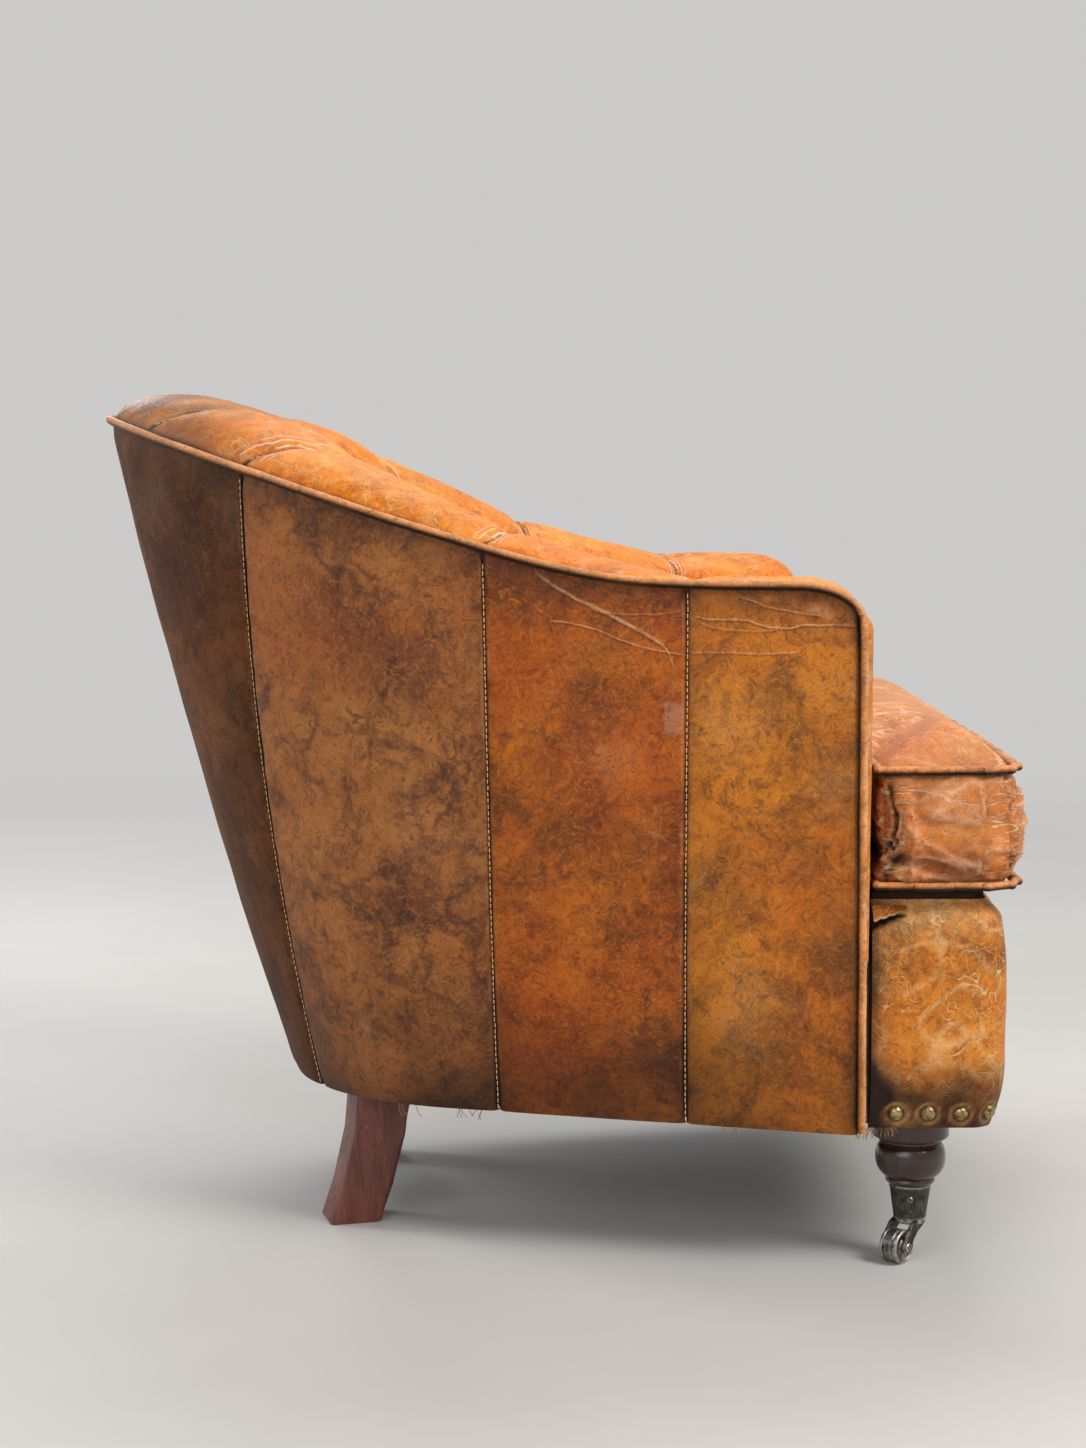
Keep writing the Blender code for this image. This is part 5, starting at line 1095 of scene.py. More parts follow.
def channel_pads():
    gap = 0.0003
    back, rear, middle, front = BACK_CHANNEL_SHARE, REAR_SEAM[1], MIDDLE_SEAM[1], FRONT_SEAM[1]
    channel_pad("back_channel_middle", (-back + gap, back - gap))
    for side in SIDES:
        label = side_name(side)
        channel_pad(f"back_channel_{label}", (side * (back + gap), side * (rear - gap)))
        channel_pad(f"arm_channel_{label}_rear", (side * (rear + gap), side * (middle - gap)))
        channel_pad(f"arm_channel_{label}_middle", (side * (middle + gap), side * (front - gap)))
        channel_pad(f"arm_channel_{label}_front", (side * (front + gap), side * 1.0), front=True)


def arm_facings():
    """Padded front faces of the arms."""
    wall = WallSection(1.0)
    profile, _ = pad_profile(wall, (26, 14))
    bottom = 0.3003
    ring = [wall.place(a, z) for a, z in profile if z > 0.47]
    ring += [Vector((0.0, ring[-1].y, z)) for z in even_steps(0.46, bottom, 14)]
    outer = [shell_at_height(1.0, z, WELT_RADIUS + 2 * SEAT_GAP) for z in even_steps(bottom, ring[0].z - 0.012, 26)]
    ring += outer
    top = max(p.z for p in ring) - 0.050
    centre_y = (INNER_FRONT_HALF_WIDTH + TOP_FRONT_HALF_WIDTH) / 2.0
    shapes = [(0.0, 0.0), (0.25, 0.0), (0.45, 0.02), (0.62, 0.06), (0.76, 0.12), (0.87, 0.20), (0.95, 0.32),
              (0.99, 0.46), (1.0, 0.62), (1.0, 0.78), (1.0, 0.92)]
    for side in SIDES:
        points, tones = [], []
        for forward, pull in shapes:
            for p in ring:
                y = mix(p.y, centre_y, pull)
                z = p.z if p.z < top else mix(p.z, top, pull * 0.6)
                if p.z < bottom + 0.02:
                    z = mix(p.z, bottom + 0.02, pull * 0.4)
                x = SHELL_FRONT_X + SEAT_GAP + ARM_NOSE * forward
                spot = Vector((x, y * side, z))
                x -= (0.0012 * (0.5 + 0.5 * wave(spot, (20.0, 20.0, 34.0), 5.0))) * forward
                points.append((x, y * side, z))
                edge = smoothstep(0.5, 0.0, forward)
                tones.append((0.65 * edge, 0.4 * crease(spot, (30.0, 40.0, 24.0), 3.0, 0.16), 0.2))
        faces = ring_faces(len(shapes), len(ring))
        name = f"arm_facing_{side_name(side)}"
        made = make_mesh(f"{name}_leather", points, faces, LEATHERS["facing"], tones=tones)
        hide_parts(name)


# Seat cushion

# Seen from here, the cushion's T-shaped edge runs once round without turning back.
CUSHION_HEART_X = 0.360


def node_mesh_copy(node, name):
    source = bpy.data.objects[node]
    data = source.data.copy()
    data.transform(source.matrix_world)
    data.materials.clear()
    bm = bmesh.new()
    bm.from_mesh(data)
    bmesh.ops.remove_doubles(bm, verts=bm.verts, dist=0.00001)
    bm.to_mesh(data)
    bm.free()
    made = bpy.data.objects.new(name, data)
    bpy.context.scene.collection.objects.link(made)
    return made


def applied(made):
    """The object with its modifiers made into mesh."""
    graph = bpy.context.evaluated_depsgraph_get()
    data = bpy.data.meshes.new_from_object(made.evaluated_get(graph))
    made.modifiers.clear()
    old = made.data
    made.data = data
    bpy.data.meshes.remove(old)
    return made


def puffed(made, pressure, cap, frames=16):
    """Lets cloth swell under pressure for a few frames, with each point's travel capped."""
    scene = bpy.context.scene
    rest = np.empty(len(made.data.vertices) * 3)
    made.data.vertices.foreach_get("co", rest)
    cloth = made.modifiers.new("swell", "CLOTH")
    cloth.settings.quality = 4
    cloth.settings.mass = 0.3
    cloth.settings.tension_stiffness = 25.0
    cloth.settings.compression_stiffness = 25.0
    cloth.settings.bending_stiffness = 1.2
    cloth.settings.use_pressure = True
    cloth.settings.uniform_pressure_force = pressure
    cloth.settings.effector_weights.gravity = 0.0
    cloth.point_cache.frame_start = 1
    cloth.point_cache.frame_end = frames
    for number in range(1, frames + 1):
        scene.frame_set(number)
    graph = bpy.context.evaluated_depsgraph_get()
    swollen = made.evaluated_get(graph)
    moved_to = np.empty(len(rest))
    swollen.data.vertices.foreach_get("co", moved_to)
    made.modifiers.clear()
    scene.frame_set(1)
    travel = (moved_to - rest).reshape(-1, 3)
    length = np.linalg.norm(travel, axis=1, keepdims=True)
    travel *= np.minimum(1.0, cap / np.maximum(length, 1e-9))
    made.data.vertices.foreach_set("co", (rest.reshape(-1, 3) + travel).ravel())
    made.data.update()
    return made


def seat_cushion():
    """The T-shaped seat cushion: swollen by cloth, then creased on its boxing and over its crown."""
    node = "seat_cushion"
    low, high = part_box(node)
    boxing_top = low[2] + 0.112
    fold_z = low[2] + 0.066
    notch_x = SHELL_FRONT_X + ARM_NOSE
    made = node_mesh_copy(node, "seat_cushion_leather")
    mesher = made.modifiers.new("even", "REMESH")
    mesher.mode = "VOXEL"
    mesher.voxel_size = 0.0052
    applied(made)
    ease = made.modifiers.new("ease", "SMOOTH")
    ease.factor = 0.5
    ease.iterations = 5
    applied(made)
    puffed(made, 3.0, 0.004)
    finer = made.modifiers.new("finer", "SUBSURF")
    finer.levels = 1
    finer.render_levels = finer.levels
    applied(made)
    data = made.data
    count = len(data.vertices)
    spots = np.empty(count * 3)
    data.vertices.foreach_get("co", spots)
    spots = spots.reshape(-1, 3)
    normals = np.array([tuple(v.normal) for v in data.vertices])
    tones = np.zeros((count, 4), dtype=np.float32)
    tones[:, 3] = 1.0
    for n in range(count):
        p, out = spots[n], normals[n]
        side = smoothstep(0.80, 0.45, abs(out[2]))
        top = smoothstep(0.3, 0.8, out[2])
        in_side = smoothstep(low[2], low[2] + 0.018, p[2]) * smoothstep(boxing_top, boxing_top - 0.018, p[2])
        around = p[0] * 7.0 + p[1] * 7.0 * abs(out[0])
        beside = smoothstep(0.30, 0.70, abs(out[1]) / (abs(out[0]) + abs(out[1]) + 1e-6))
        fan_out = 0.085 * math.atan2(p[2] - fold_z, p[0] - notch_x + 0.055)
        slant = mix(p[2] + 0.10 * abs(p[1]), fan_out, beside)
        q = (around, 0.0, slant * 62.0 + 0.35 * wave(p, 16.0, 3.0))
        fuller = 1.0 + 0.7 * smoothstep(fold_z + 0.02, low[2] + 0.02, p[2])
        big = (wave(q, 1.0, 5.0) * 0.0044 + wave(q, 2.3, 8.0) * 0.0016) * fuller
        ridge = crease(q, 1.35, 12.0, 0.24)
        fine = crease((q[0] * 2.2, 0.0, q[2] * 1.4), 1.0, 27.0, 0.16)
        seam_pleats = wave(p, (90.0, 90.0, 14.0), 6.0) * 0.0008 * smoothstep(0.030, 0.004, boxing_top - p[2])
        side_push = (big + 0.0030 * ridge**1.5 * fuller + 0.0008 * fine) * in_side + seam_pleats
        fan = math.atan2(abs(p[1]) - INNER_FRONT_HALF_WIDTH, p[0] - notch_x + 0.16)
        away = math.hypot(abs(p[1]) - INNER_FRONT_HALF_WIDTH, p[0] - notch_x + 0.16)
        f = (fan * 16.0, away * 7.0, 0.0)
        top_ridge = crease(f, 1.0, 15.0, 0.17) * smoothstep(-0.02, 0.12, p[0] - notch_x + 0.06)
        top_soft = 0.0026 * wave(p, 11.0, 19.0) + 0.0012 * wave(p, 30.0, 23.0)
        top_push = (top_soft + 0.0008 * top_ridge) * top
        push = side_push * side + top_push
        spots[n] = p + out * push
        # pale: fold crests on the boxing, partly worn leather and partly painted highlight, and a painted highlight
        # over the top face, more on its raised creases. The first tone is painted shade in the seams, fold hollows,
        # beside the arm and underneath.
        pale = side * in_side * (0.60 * ridge**2 + 0.30 * fine) + top * (0.12 + 0.45 * top_ridge)
        seam = math.exp(-(((p[2] - boxing_top + 0.004) / 0.004) ** 2)) * side
        seam += math.exp(-(((p[2] - low[2] - 0.004) / 0.005) ** 2)) * side
        hollow = smoothstep(0.1, -0.7, wave(q, 1.0, 5.0)) * side * in_side
        inner = smoothstep(0.045, 0.0, p[0] - notch_x) * beside * side
        tones[n, 0] = 0.55 * seam + 0.85 * hollow + 0.60 * inner + 0.5 * smoothstep(-0.3, -0.9, out[2])
        tones[n, 1] = pale * (0.7 + 0.3 * wave(p, 50.0, 31.0))
        tones[n, 2] = 0.35 + 0.4 * wave(p, 10.0, 37.0)
    spots[:, 2] = np.maximum(spots[:, 2], low[2])
    data.vertices.foreach_set("co", spots.ravel())
    paint = data.color_attributes.new("tone", "FLOAT_COLOR", "POINT")
    paint.data.foreach_set("color", np.clip(tones, 0.0, 1.0).ravel())
    data.shade_smooth()
    data.materials.append(LEATHERS["cushion"])
    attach(made, "root")
    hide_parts(node)
    return made


def centre_line(node):
    """The line along the middle of a CAD tube that runs level round the cushion."""
    source = bpy.data.objects[node]
    low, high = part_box(node)
    z = (low[2] + high[2]) / 2.0
    spots = {}
    for v in source.data.vertices:
        p = source.matrix_world @ v.co
        spots[(round(p.x, 5), round(p.y, 5), round(p.z, 5))] = p
    top = max(p.z for p in spots.values())
    centres = [Vector((p.x, p.y, z)) for p in spots.values() if top - p.z < 0.0002]
    centres.sort(key=lambda q: math.atan2(q.y, q.x - CUSHION_HEART_X))
    return centres


# Front border


def border_bow(y):
    inside = min(1.0, abs(y) / (BORDER_HALF_WIDTH - BORDER_CORNER_RADIUS))
    return BORDER_FRONT_BOW * (1.0 - inside**2)


def border_path():
    """The border's plan from the right arm round the front to the left arm, with outward normals."""
    radius = BORDER_CORNER_RADIUS
    straight = BORDER_FRONT_X - radius
    half = [Vector((BORDER_FRONT_X, y)) for y in even_steps(0.0, BORDER_HALF_WIDTH - radius, 60)]
    for a in even_steps(0.0, 90.0, 14)[1:]:
        angle = math.radians(a)
        y = BORDER_HALF_WIDTH - radius * (1.0 - math.sin(angle))
        half.append(Vector((straight + radius * math.cos(angle), y)))
    half += [Vector((x, BORDER_HALF_WIDTH)) for x in even_steps(straight, BORDER_REAR_X, 24)[1:]]
    for p in half:
        p.x += border_bow(p.y)
    path = [Vector((p.x, -p.y)) for p in reversed(half[1:])] + half
    normals = []
    for n in range(len(path)):
        along = path[min(n + 1, len(path) - 1)] - path[max(n - 1, 0)]
        normals.append(Vector((along.y, -along.x)).normalized())
    return path, normals


def border_offset(share):
    low, high = BORDER_FULLEST
    if share < low:
        return BORDER_TUCK * (1.0 - share / low) ** 2
    if share > high:
        return BORDER_TOP_PULL * ((share - high) / (1.0 - high)) ** 2
    return 0.0


def nail_spots():
    """Centre and outward direction of each nail head."""
    path, normals = border_path()
    share = (NAIL_Z - BORDER_BOTTOM_Z) / (BORDER_TOP_Z - BORDER_BOTTOM_Z)
    line = [p - n * border_offset(share) for p, n in zip(path, normals)]
    lengths = [0.0]
    for a, b in zip(line, line[1:]):
        lengths.append(lengths[-1] + (b - a).length)
    count = int((lengths[-1] - 1.2 * NAIL_SPACING) // NAIL_SPACING)
    first = (lengths[-1] - count * NAIL_SPACING) / 2.0
    lean = 0.30
    spots = []
    n = 0
    for k in range(count + 1):
        travel = first + k * NAIL_SPACING
        while lengths[n + 1] < travel:
            n += 1
        p = line[n].lerp(line[n + 1], (travel - lengths[n]) / (lengths[n + 1] - lengths[n]))
        out = Vector((normals[n].x, normals[n].y, -lean)).normalized()
        spots.append((Vector((p.x, p.y, NAIL_Z)), out))
    return spots


# The tear at the near upper rear corner runs forward from the arm and narrows to nothing.
TEAR_Z = 0.3395
TEAR_LENGTH = 0.032
TEAR_HEIGHT = 0.0075


def border_inset(share):
    """How far the border's face lies behind its plan at a share of its height."""
    return border_offset(share) + 0.0125 * smoothstep(0.90, 1.0, share) ** 2


def tear_depth(spot):
    """1 inside the tear, 0 outside it."""
    along = (spot.x - BORDER_REAR_X) / TEAR_LENGTH
    if spot.y > -0.30 or along > 1.0:
        return 0.0
    half = TEAR_HEIGHT * (1.0 - along) + 0.0008
    return smoothstep(1.5, 0.6, abs(spot.z - TEAR_Z - 0.004 * along) / half)


def front_border():
    """The padded border: full in the middle, dimpled round its nails, torn at the near rear corner."""
    path, normals = border_path()
    nails = nail_spots()
    shares = [0.0, 0.004] + list(0.008 + 0.984 * eased_steps(58, 0.35)) + [1.0]
    points, tones = [], []
    for p, n in zip(path, normals):
        for share in shares:
            z = mix(BORDER_BOTTOM_Z, BORDER_TOP_Z, share)
            spot = Vector((*(p - n * border_inset(share)), z))
            near = min((spot - c).length for c, _ in nails) if z < 0.19 else 1.0
            dimple = 0.0030 * math.exp(-(((near - NAIL_RADIUS) / 0.0055) ** 2)) if near < 0.05 else 0.0
            dimple = 0.0028 if near < NAIL_RADIUS else dimple
            soft = 0.0020 * wave(spot, 11.0, 3.0) + 0.0010 * wave(spot, 30.0, 7.0)
            soft *= smoothstep(0.0, 0.10, share) * smoothstep(1.0, 0.94, share)
            pulls = 0.0010 * wave(spot, (34.0, 34.0, 6.0), 5.0) * smoothstep(0.35, 0.08, share)
            hole = tear_depth(spot)
            spot += Vector((n.x, n.y, 0.0)) * (soft + pulls - dimple - 0.007 * hole)
            if share > 0.995:
                spot.z = BORDER_TOP_Z
            points.append(tuple(spot))
            # Pale: scuffed creases, plus painted highlights along the rounded top (upper) and round each nail's dimple
            # (ring), where the painted shade is lifted too.
            scuffs = 0.4 * crease(spot, (26.0, 26.0, 26.0), 41.0, 0.10)
            upper = 0.40 * smoothstep(0.80, 0.97, share) * (0.5 + 0.5 * wave(spot, 20.0, 2.0))
            ring = 0.5 * math.exp(-(((near - NAIL_RADIUS * 1.35) / 0.0022) ** 2))
            dark = 0.95 * smoothstep(0.36, 0.14, share) * (0.88 + 0.4 * wave(spot, 28.0, 9.0))
            dark += 0.45 * smoothstep(0.035, 0.0, spot.x - BORDER_REAR_X) * (0.8 + 0.4 * wave(spot, 30.0, 19.0))
            dark *= 1.0 - 0.8 * ring
            dark += 0.9 * hole + 0.4 * smoothstep(0.012, 0.0, spot.x - BORDER_REAR_X)
            tones.append((dark, scuffs + upper + ring * 0.8, 0.25 * (1.0 - share)))
        back = p - n * BORDER_PADDING
        back.x -= border_bow(p.y)
        points += [(back.x, back.y, BORDER_TOP_Z), (back.x, back.y, BORDER_BOTTOM_Z)]
        tones += [(0.9, 0.0, 0.0)] * 2
    faces = ring_faces(len(path), len(shares) + 2)
    made = make_mesh("front_border_leather", points, faces, LEATHERS["border"], tones=tones)
    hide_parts("front_border")
    heads, head_faces = [], []
    for centre, out in nails:
        add_nail(heads, head_faces, centre - out * 0.0022, out)
    made = make_mesh("border_nails", heads, head_faces, BRASS, sharp=60.0)
    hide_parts("front_border")


def torn_flap():
    """The lip of leather torn loose over the border's tear, curled a little outwards."""
    rows, columns = 10, 16
    top_z = TEAR_Z + 0.0125
    grid = np.zeros((rows + 1, columns + 1, 3))
    tones = np.zeros((rows + 1, columns + 1, 3))
    for r in range(rows + 1):
        for c in range(columns + 1):
            down, along = r / rows, c / columns
            x = BORDER_REAR_X + 0.0006 + TEAR_LENGTH * 0.98 * along
            z = top_z - down * (0.0125 * (1.0 - 0.72 * along) + 0.0006 * math.sin(along * 23.0))
            share = (z - BORDER_BOTTOM_Z) / (BORDER_TOP_Z - BORDER_BOTTOM_Z)
            lift = 0.0016 + 0.0042 * down**2 * (1.0 - 0.8 * along)
            grid[r, c] = (x, -(BORDER_HALF_WIDTH - border_inset(share)) - lift, z)
            tones[r, c] = (0.25 + 0.3 * along * down, 0.85 * smoothstep(0.80, 1.0, down), 0.4)
    flap = closed_sheet("torn_flap", grid[::-1].copy(), 0.0012, tones[::-1], LEATHERS["border"])


def add_nail(points, faces, centre, out):
    """A hammered dome with a thin rim, each a little different."""
    tilt = Vector((RANDOM.uniform(-0.06, 0.06), RANDOM.uniform(-0.06, 0.06), RANDOM.uniform(-0.06, 0.06)))
    turn = (out + tilt).normalized().to_track_quat("Z", "Y").to_matrix()
    size = NAIL_RADIUS * RANDOM.uniform(0.96, 1.03)
    profile = [(0.90, -0.0010), (1.0, 0.0), (1.0, 0.0005), (0.93, 0.0009)]
    profile += [(0.93 * math.cos(a), 0.0009 + NAIL_DOME * math.sin(a)) for a in np.radians((12, 26, 42, 58, 74))]
    sides = 28
    start = len(points)
    for share, height in profile:
        for i in range(sides):
            angle = 2.0 * math.pi * i / sides
            spot = Vector((math.cos(angle) * size * share, math.sin(angle) * size * share, height))
            dent = 1.0 + 0.02 * wave(centre + spot, 220.0, 3.0)
            points.append(tuple(centre + turn @ (spot * dent)))
    points.append(tuple(centre + turn @ Vector((0.0, 0.0, 0.0009 + NAIL_DOME))))
    rows = len(profile)
    faces += ring_faces(rows, sides, start)[:-1]
    last = start + (rows - 1) * sides
    apex = start + rows * sides
    faces += [(last + i, last + (i + 1) % sides, apex) for i in range(sides)]


# Stitches and loose threads


def stitch_row(points, faces, line, length=0.0050, pitch=0.0062, radius=0.00045, lift=None):
    """Short stitches along a line, each a small capsule that dips at its ends."""
    total = sum((b - a).length for a, b in zip(line, line[1:]))
    count = int(total // pitch)
    fine = resample(line, pitch)
    for n in range(min(count, len(fine) - 1)):
        a, b = fine[n], fine[n + 1]
        along = (b - a).normalized()
        out = lift(a) if lift else Vector((0.0, 0.0, 1.0))
        middle = (a + b) / 2.0 + out.cross(along) * RANDOM.uniform(-0.0002, 0.0002)
        span = []
        for t in (-0.5, -0.36, 0.0, 0.36, 0.5):
            span.append(middle + along * (t * length) + out * (0.0005 * (1.0 - (2.0 * t) ** 2)))
        spots, new_faces = tube_parts(span, radius, 6, radii=(0.35, 1.0, 1.1, 1.0, 0.35), start=len(points))
        points.extend(spots)
        faces.extend(new_faces)


def seam_out(side):
    """The direction out of the shell, roughly."""
    def out(p):
        if p.x < -0.20:
            away = Vector((p.x + 0.10, p.y, 0.0))
        else:
            away = Vector((-0.15, side, 0.0))
        return away.normalized()
    return out


def outer_stitches():
    points, faces = [], []
    for side in SIDES:
        for seam, shift in ((REAR_SEAM, 0.0), (MIDDLE_SEAM, 0.0), (FRONT_SEAM, 0.0)):
            line = []
            for rise in even_steps(0.006, 0.985, 90):
                share = mix(seam[0], seam[1], rise) + shift
                p = shell_point(share, rise, 0.0018)
                line.append(Vector((p.x, p.y * side, p.z)))
            stitch_row(points, faces, line, lift=seam_out(side))
    made = make_mesh("outer_seam_stitches", points, faces, THREAD, sharp=80.0)
    return made


def pad_stitches():
    points, faces = [], []
    back, rear, middle, front = BACK_CHANNEL_SHARE, REAR_SEAM[1], MIDDLE_SEAM[1], FRONT_SEAM[1]
    for side in SIDES:
        for share in (back, rear, middle, front):
            wall = WallSection(side * share)
            profile, centre = pad_profile(wall, (30, 12))
            line = []
            for n, (a, z) in enumerate(profile[2:38]):
                if z < SEAT_LINE_Z + 0.03:
                    break
                toward = Vector((centre[0] - a, centre[1] - z)) if n < 28 else Vector((-1.0, 0.0))
                toward.normalize()
                build = smoothstep(0.0, 0.22, (n + 2) / 30)
                depth = (0.0075 + 0.0065) * build - 0.0008
                line.append(wall.place(a + toward.x * depth, z + toward.y * depth))
            up = Vector((0.0, 0.0, 1.0))
            stitch_row(points, faces, line, lift=lambda p: up)
    return make_mesh("channel_stitches", points, faces, THREAD, sharp=80.0)


FRAY_SPOTS = (
    ((468, 1112), 7, 0.010), ((398, 1106), 3, 0.014), ((735, 1126), 6, 0.009), ((862, 1136), 9, 0.014),
    ((880, 1128), 9, 0.012), ((893, 1129), 5, 0.009),
)


def lower_edge(x):
    """The point of the photographed side's lower edge at x, just inside the leather."""
    share = min(even_steps(0.2, 1.0, 400), key=lambda at: abs(shell_point(at, 0.0).x - x))
    p = shell_point(share, 0.0, 0.001)
    return Vector((p.x, -p.y, p.z))


def loose_threads():
    """Frayed ends along the photographed side's lower edge and at the torn corner."""
    points, faces = [], []
    for (x, y), count, reach in FRAY_SPOTS:
        root = photo_point(x, y, -0.318)
        for _ in range(count):
            along, across = RANDOM.uniform(-0.012, 0.012), RANDOM.uniform(-0.004, 0.004)
            if root.x < SHELL_BOTTOM_FRONT_X:
                start = lower_edge(root.x + along)
            else:
                start = Vector((root.x + along, root.y + across, max(root.z, BORDER_BOTTOM_Z)))
            start.z += 0.001
            way = Vector((RANDOM.uniform(-1.0, 1.0), RANDOM.uniform(-1.2, 0.0), RANDOM.uniform(-1.6, -0.5)))
            way.normalize()
            span = []
            for t in even_steps(0.0, 1.0, 6):
                curl = Vector((math.sin(t * 5.0 + x), math.cos(t * 4.0 + y), 0.0)) * (0.15 * t)
                span.append(start + (way + curl) * (reach * t * RANDOM.uniform(0.92, 1.0)))
            spots, new_faces = tube_parts(span, 0.00035, 5, start=len(points))
            points.extend(spots)
            faces.extend(new_faces)
    return make_mesh("frayed_threads", points, faces, FRAYED, sharp=80.0)


# Wood and metal


def lathe(name, node, profile, spot, material, body, turn=None, sides=72, flutes=None):
    """A piece turned about an upright line through spot. The profile runs from its top to its bottom."""
    points = []
    for radius, z in profile:
        for i in range(sides):
            angle = 2.0 * math.pi * i / sides
            points.append(Vector((radius * math.cos(angle), radius * math.sin(angle), z)))
    place = Matrix.Translation(spot) @ (turn or Matrix())
    points = [tuple(place @ p) for p in points]
    made = make_mesh(name, points, ring_faces(len(profile), sides), material, body, sharp=32.0)
    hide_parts(node)
    return made


def arc(centre_r, centre_z, radius_r, radius_z, start, end, count):
    return [
        (centre_r + radius_r * math.cos(math.radians(a)), centre_z + radius_z * math.sin(math.radians(a)))
        for a in np.linspace(start, end, count)
    ]


def leg_profile():
    cap_bottom, ball_z, ball_r, neck = 0.1190, 0.1000, 0.0337, 0.0292
    profile = [(0.0, 0.1770), (0.0110, 0.1770), (0.0110, 0.1447), (0.0352, 0.1447)]
    profile += arc(0.0356, 0.1437, 0.0010, 0.0010, 80, 0, 4)
    profile += [(0.0366, cap_bottom + 0.0042)] + arc(0.0346, cap_bottom + 0.0034, 0.0020, 0.0024, 0, -80, 5)
    profile += [(0.0300, cap_bottom - 0.0006), (neck, cap_bottom - 0.0018), (neck, cap_bottom - 0.0034),
                (neck + 0.0008, cap_bottom - 0.0040), (neck, cap_bottom - 0.0050)]
    profile += arc(neck - 0.0004, ball_z, ball_r - neck + 0.0004, 0.0132, 74, 0, 10)
    profile += arc(0.0205, ball_z, ball_r - 0.0205, 0.0195, -5, -74, 16)
    profile += [(0.0232, 0.0798), (0.0238, 0.0785), (0.0238, 0.0766), (0.0226, 0.0752), (0.0208, 0.0742),
                (0.0208, 0.0740), (0.0186, 0.0738), (0.0140, 0.0443), (0.0067, 0.0443), (0.0067, 0.0485), (0.0, 0.0485)]
    return profile


def cup_profile():
    return [(0.0184, 0.0735), (0.0194, 0.0735), (0.0200, 0.0730), (0.0202, 0.0715), (0.0199, 0.0700), (0.0194, 0.0690),
            (0.0193, 0.0680), (0.0158, 0.0435), (0.0159, 0.0420), (0.0156, 0.0404), (0.0150, 0.0400), (0.0041, 0.0400),
            (0.0041, 0.0440), (0.0139, 0.0440)]


def closed_ring(profile):
    """A profile that goes round a hole closes on itself."""
    return profile + [profile[0]]


def edged_copy(node, name, body, material, width):
    """A CAD piece with its flat faces rejoined and its edges slightly rounded."""
    made = node_mesh_copy(node, name)
    bm = bmesh.new()
    bm.from_mesh(made.data)
    bmesh.ops.dissolve_limit(bm, angle_limit=math.radians(4.0), verts=bm.verts, edges=bm.edges)
    bm.to_mesh(made.data)
    bm.free()
    edge = made.modifiers.new("worn edges", "BEVEL")
    edge.width = width
    edge.segments = 2
    edge.limit_method = "ANGLE"
    edge.angle_limit = math.radians(28.0)
    edge.use_clamp_overlap = True
    applied(made)
    made.data.shade_smooth()
    made.data.set_sharp_from_angle(angle=math.radians(35.0))
    made.data.materials.append(material)
    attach(made, body)
    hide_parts(node)
    return made


def axle_turn(axis):
    return Vector(axis).to_track_quat("Z", "Y").to_matrix().to_4x4()


def wheel_profile(half, radius, bore):
    side = [(bore, half), (radius * 0.30, half), (radius * 0.40, half), (radius * 0.46, half - 0.0006),
            (radius * 0.50, half - 0.0014), (radius * 0.74, half - 0.0014), (radius * 0.80, half - 0.0008),
            (radius * 0.86, half), (radius * 0.93, half), (radius * 0.985, half - 0.0007), (radius, half - 0.0016),
            (radius, half * 0.66), (radius - 0.0004, half * 0.62), (radius - 0.0014, half * 0.58),
            (radius - 0.0016, half * 0.48), (radius - 0.0012, half * 0.42), (radius - 0.0004, half * 0.36),
            (radius - 0.0003, half * 0.10)]
    return side + [(r, -h) for r, h in reversed(side)]


WHEEL_WIDTH = 0.0190


def casters():
    joints = {j["name"]: j for j in frame["record"]["behaviour"]["joints"]}
    for side in SIDES:
        label = side_name(side)
        swivel = Vector(joints[f"{label}_caster_swivel"]["pos_m"])
        roll = joints[f"{label}_wheel_roll"]
        foot = Vector((swivel.x, swivel.y, 0.0))
        lathe(f"front_leg_{label}_turned", f"front_leg_{label}", leg_profile(), foot, MAHOGANY, "root")
        lathe(f"caster_cup_{label}_cast", f"caster_cup_{label}", closed_ring(cup_profile()), foot, IRON,
              "root")
        centre = Vector(roll["pos_m"])
        lathe(f"caster_wheel_{label}_grooved", f"caster_wheel_{label}",
              closed_ring(wheel_profile(WHEEL_WIDTH / 2.0, centre.z, 0.0031)), centre, WHEEL, f"{label}_wheel",
              turn=axle_turn(roll["axis"]), sides=96)
        edged_copy(f"caster_horn_{label}", f"caster_horn_{label}_cast", f"{label}_caster", IRON, 0.0006)
        edged_copy(f"caster_axle_{label}", f"caster_axle_{label}_rivet", f"{label}_caster", WHEEL, 0.0003)
        cup_screw(side, foot)


def cup_screw(side, foot):
    """The small slotted screw that holds the cup on the leg."""
    out = Vector((-0.12, side * 1.0, 0.0)).normalized()
    height, cup_radius, radius = 0.0610, 0.0182, 0.0028
    centre = foot + Vector((0.0, 0.0, height)) + out * (cup_radius + 0.0002)
    turn = out.to_track_quat("Z", "Y").to_matrix()
    points, sides = [], 24
    profile = ((radius * 0.9, -0.0012), (radius, 0.0), (radius, 0.0005), (radius * 0.8, 0.0011), (radius * 0.4, 0.0014))
    for r, h in profile:
        for i in range(sides):
            angle = 2.0 * math.pi * i / sides
            slot = 0.0008 if abs(math.sin(angle + 0.6)) * r < 0.0005 and h > 0.001 else 0.0
            points.append(tuple(centre + turn @ Vector((r * math.cos(angle), r * math.sin(angle), h - slot))))
    make_mesh(f"cup_screw_{side_name(side)}", points, ring_faces(len(profile), sides), IRON, sharp=40.0)


def rear_legs():
    for side in SIDES:
        label = side_name(side)
        edged_copy(f"rear_leg_{label}", f"rear_leg_{label}_wood", "root", MAHOGANY_WORN, 0.0010)


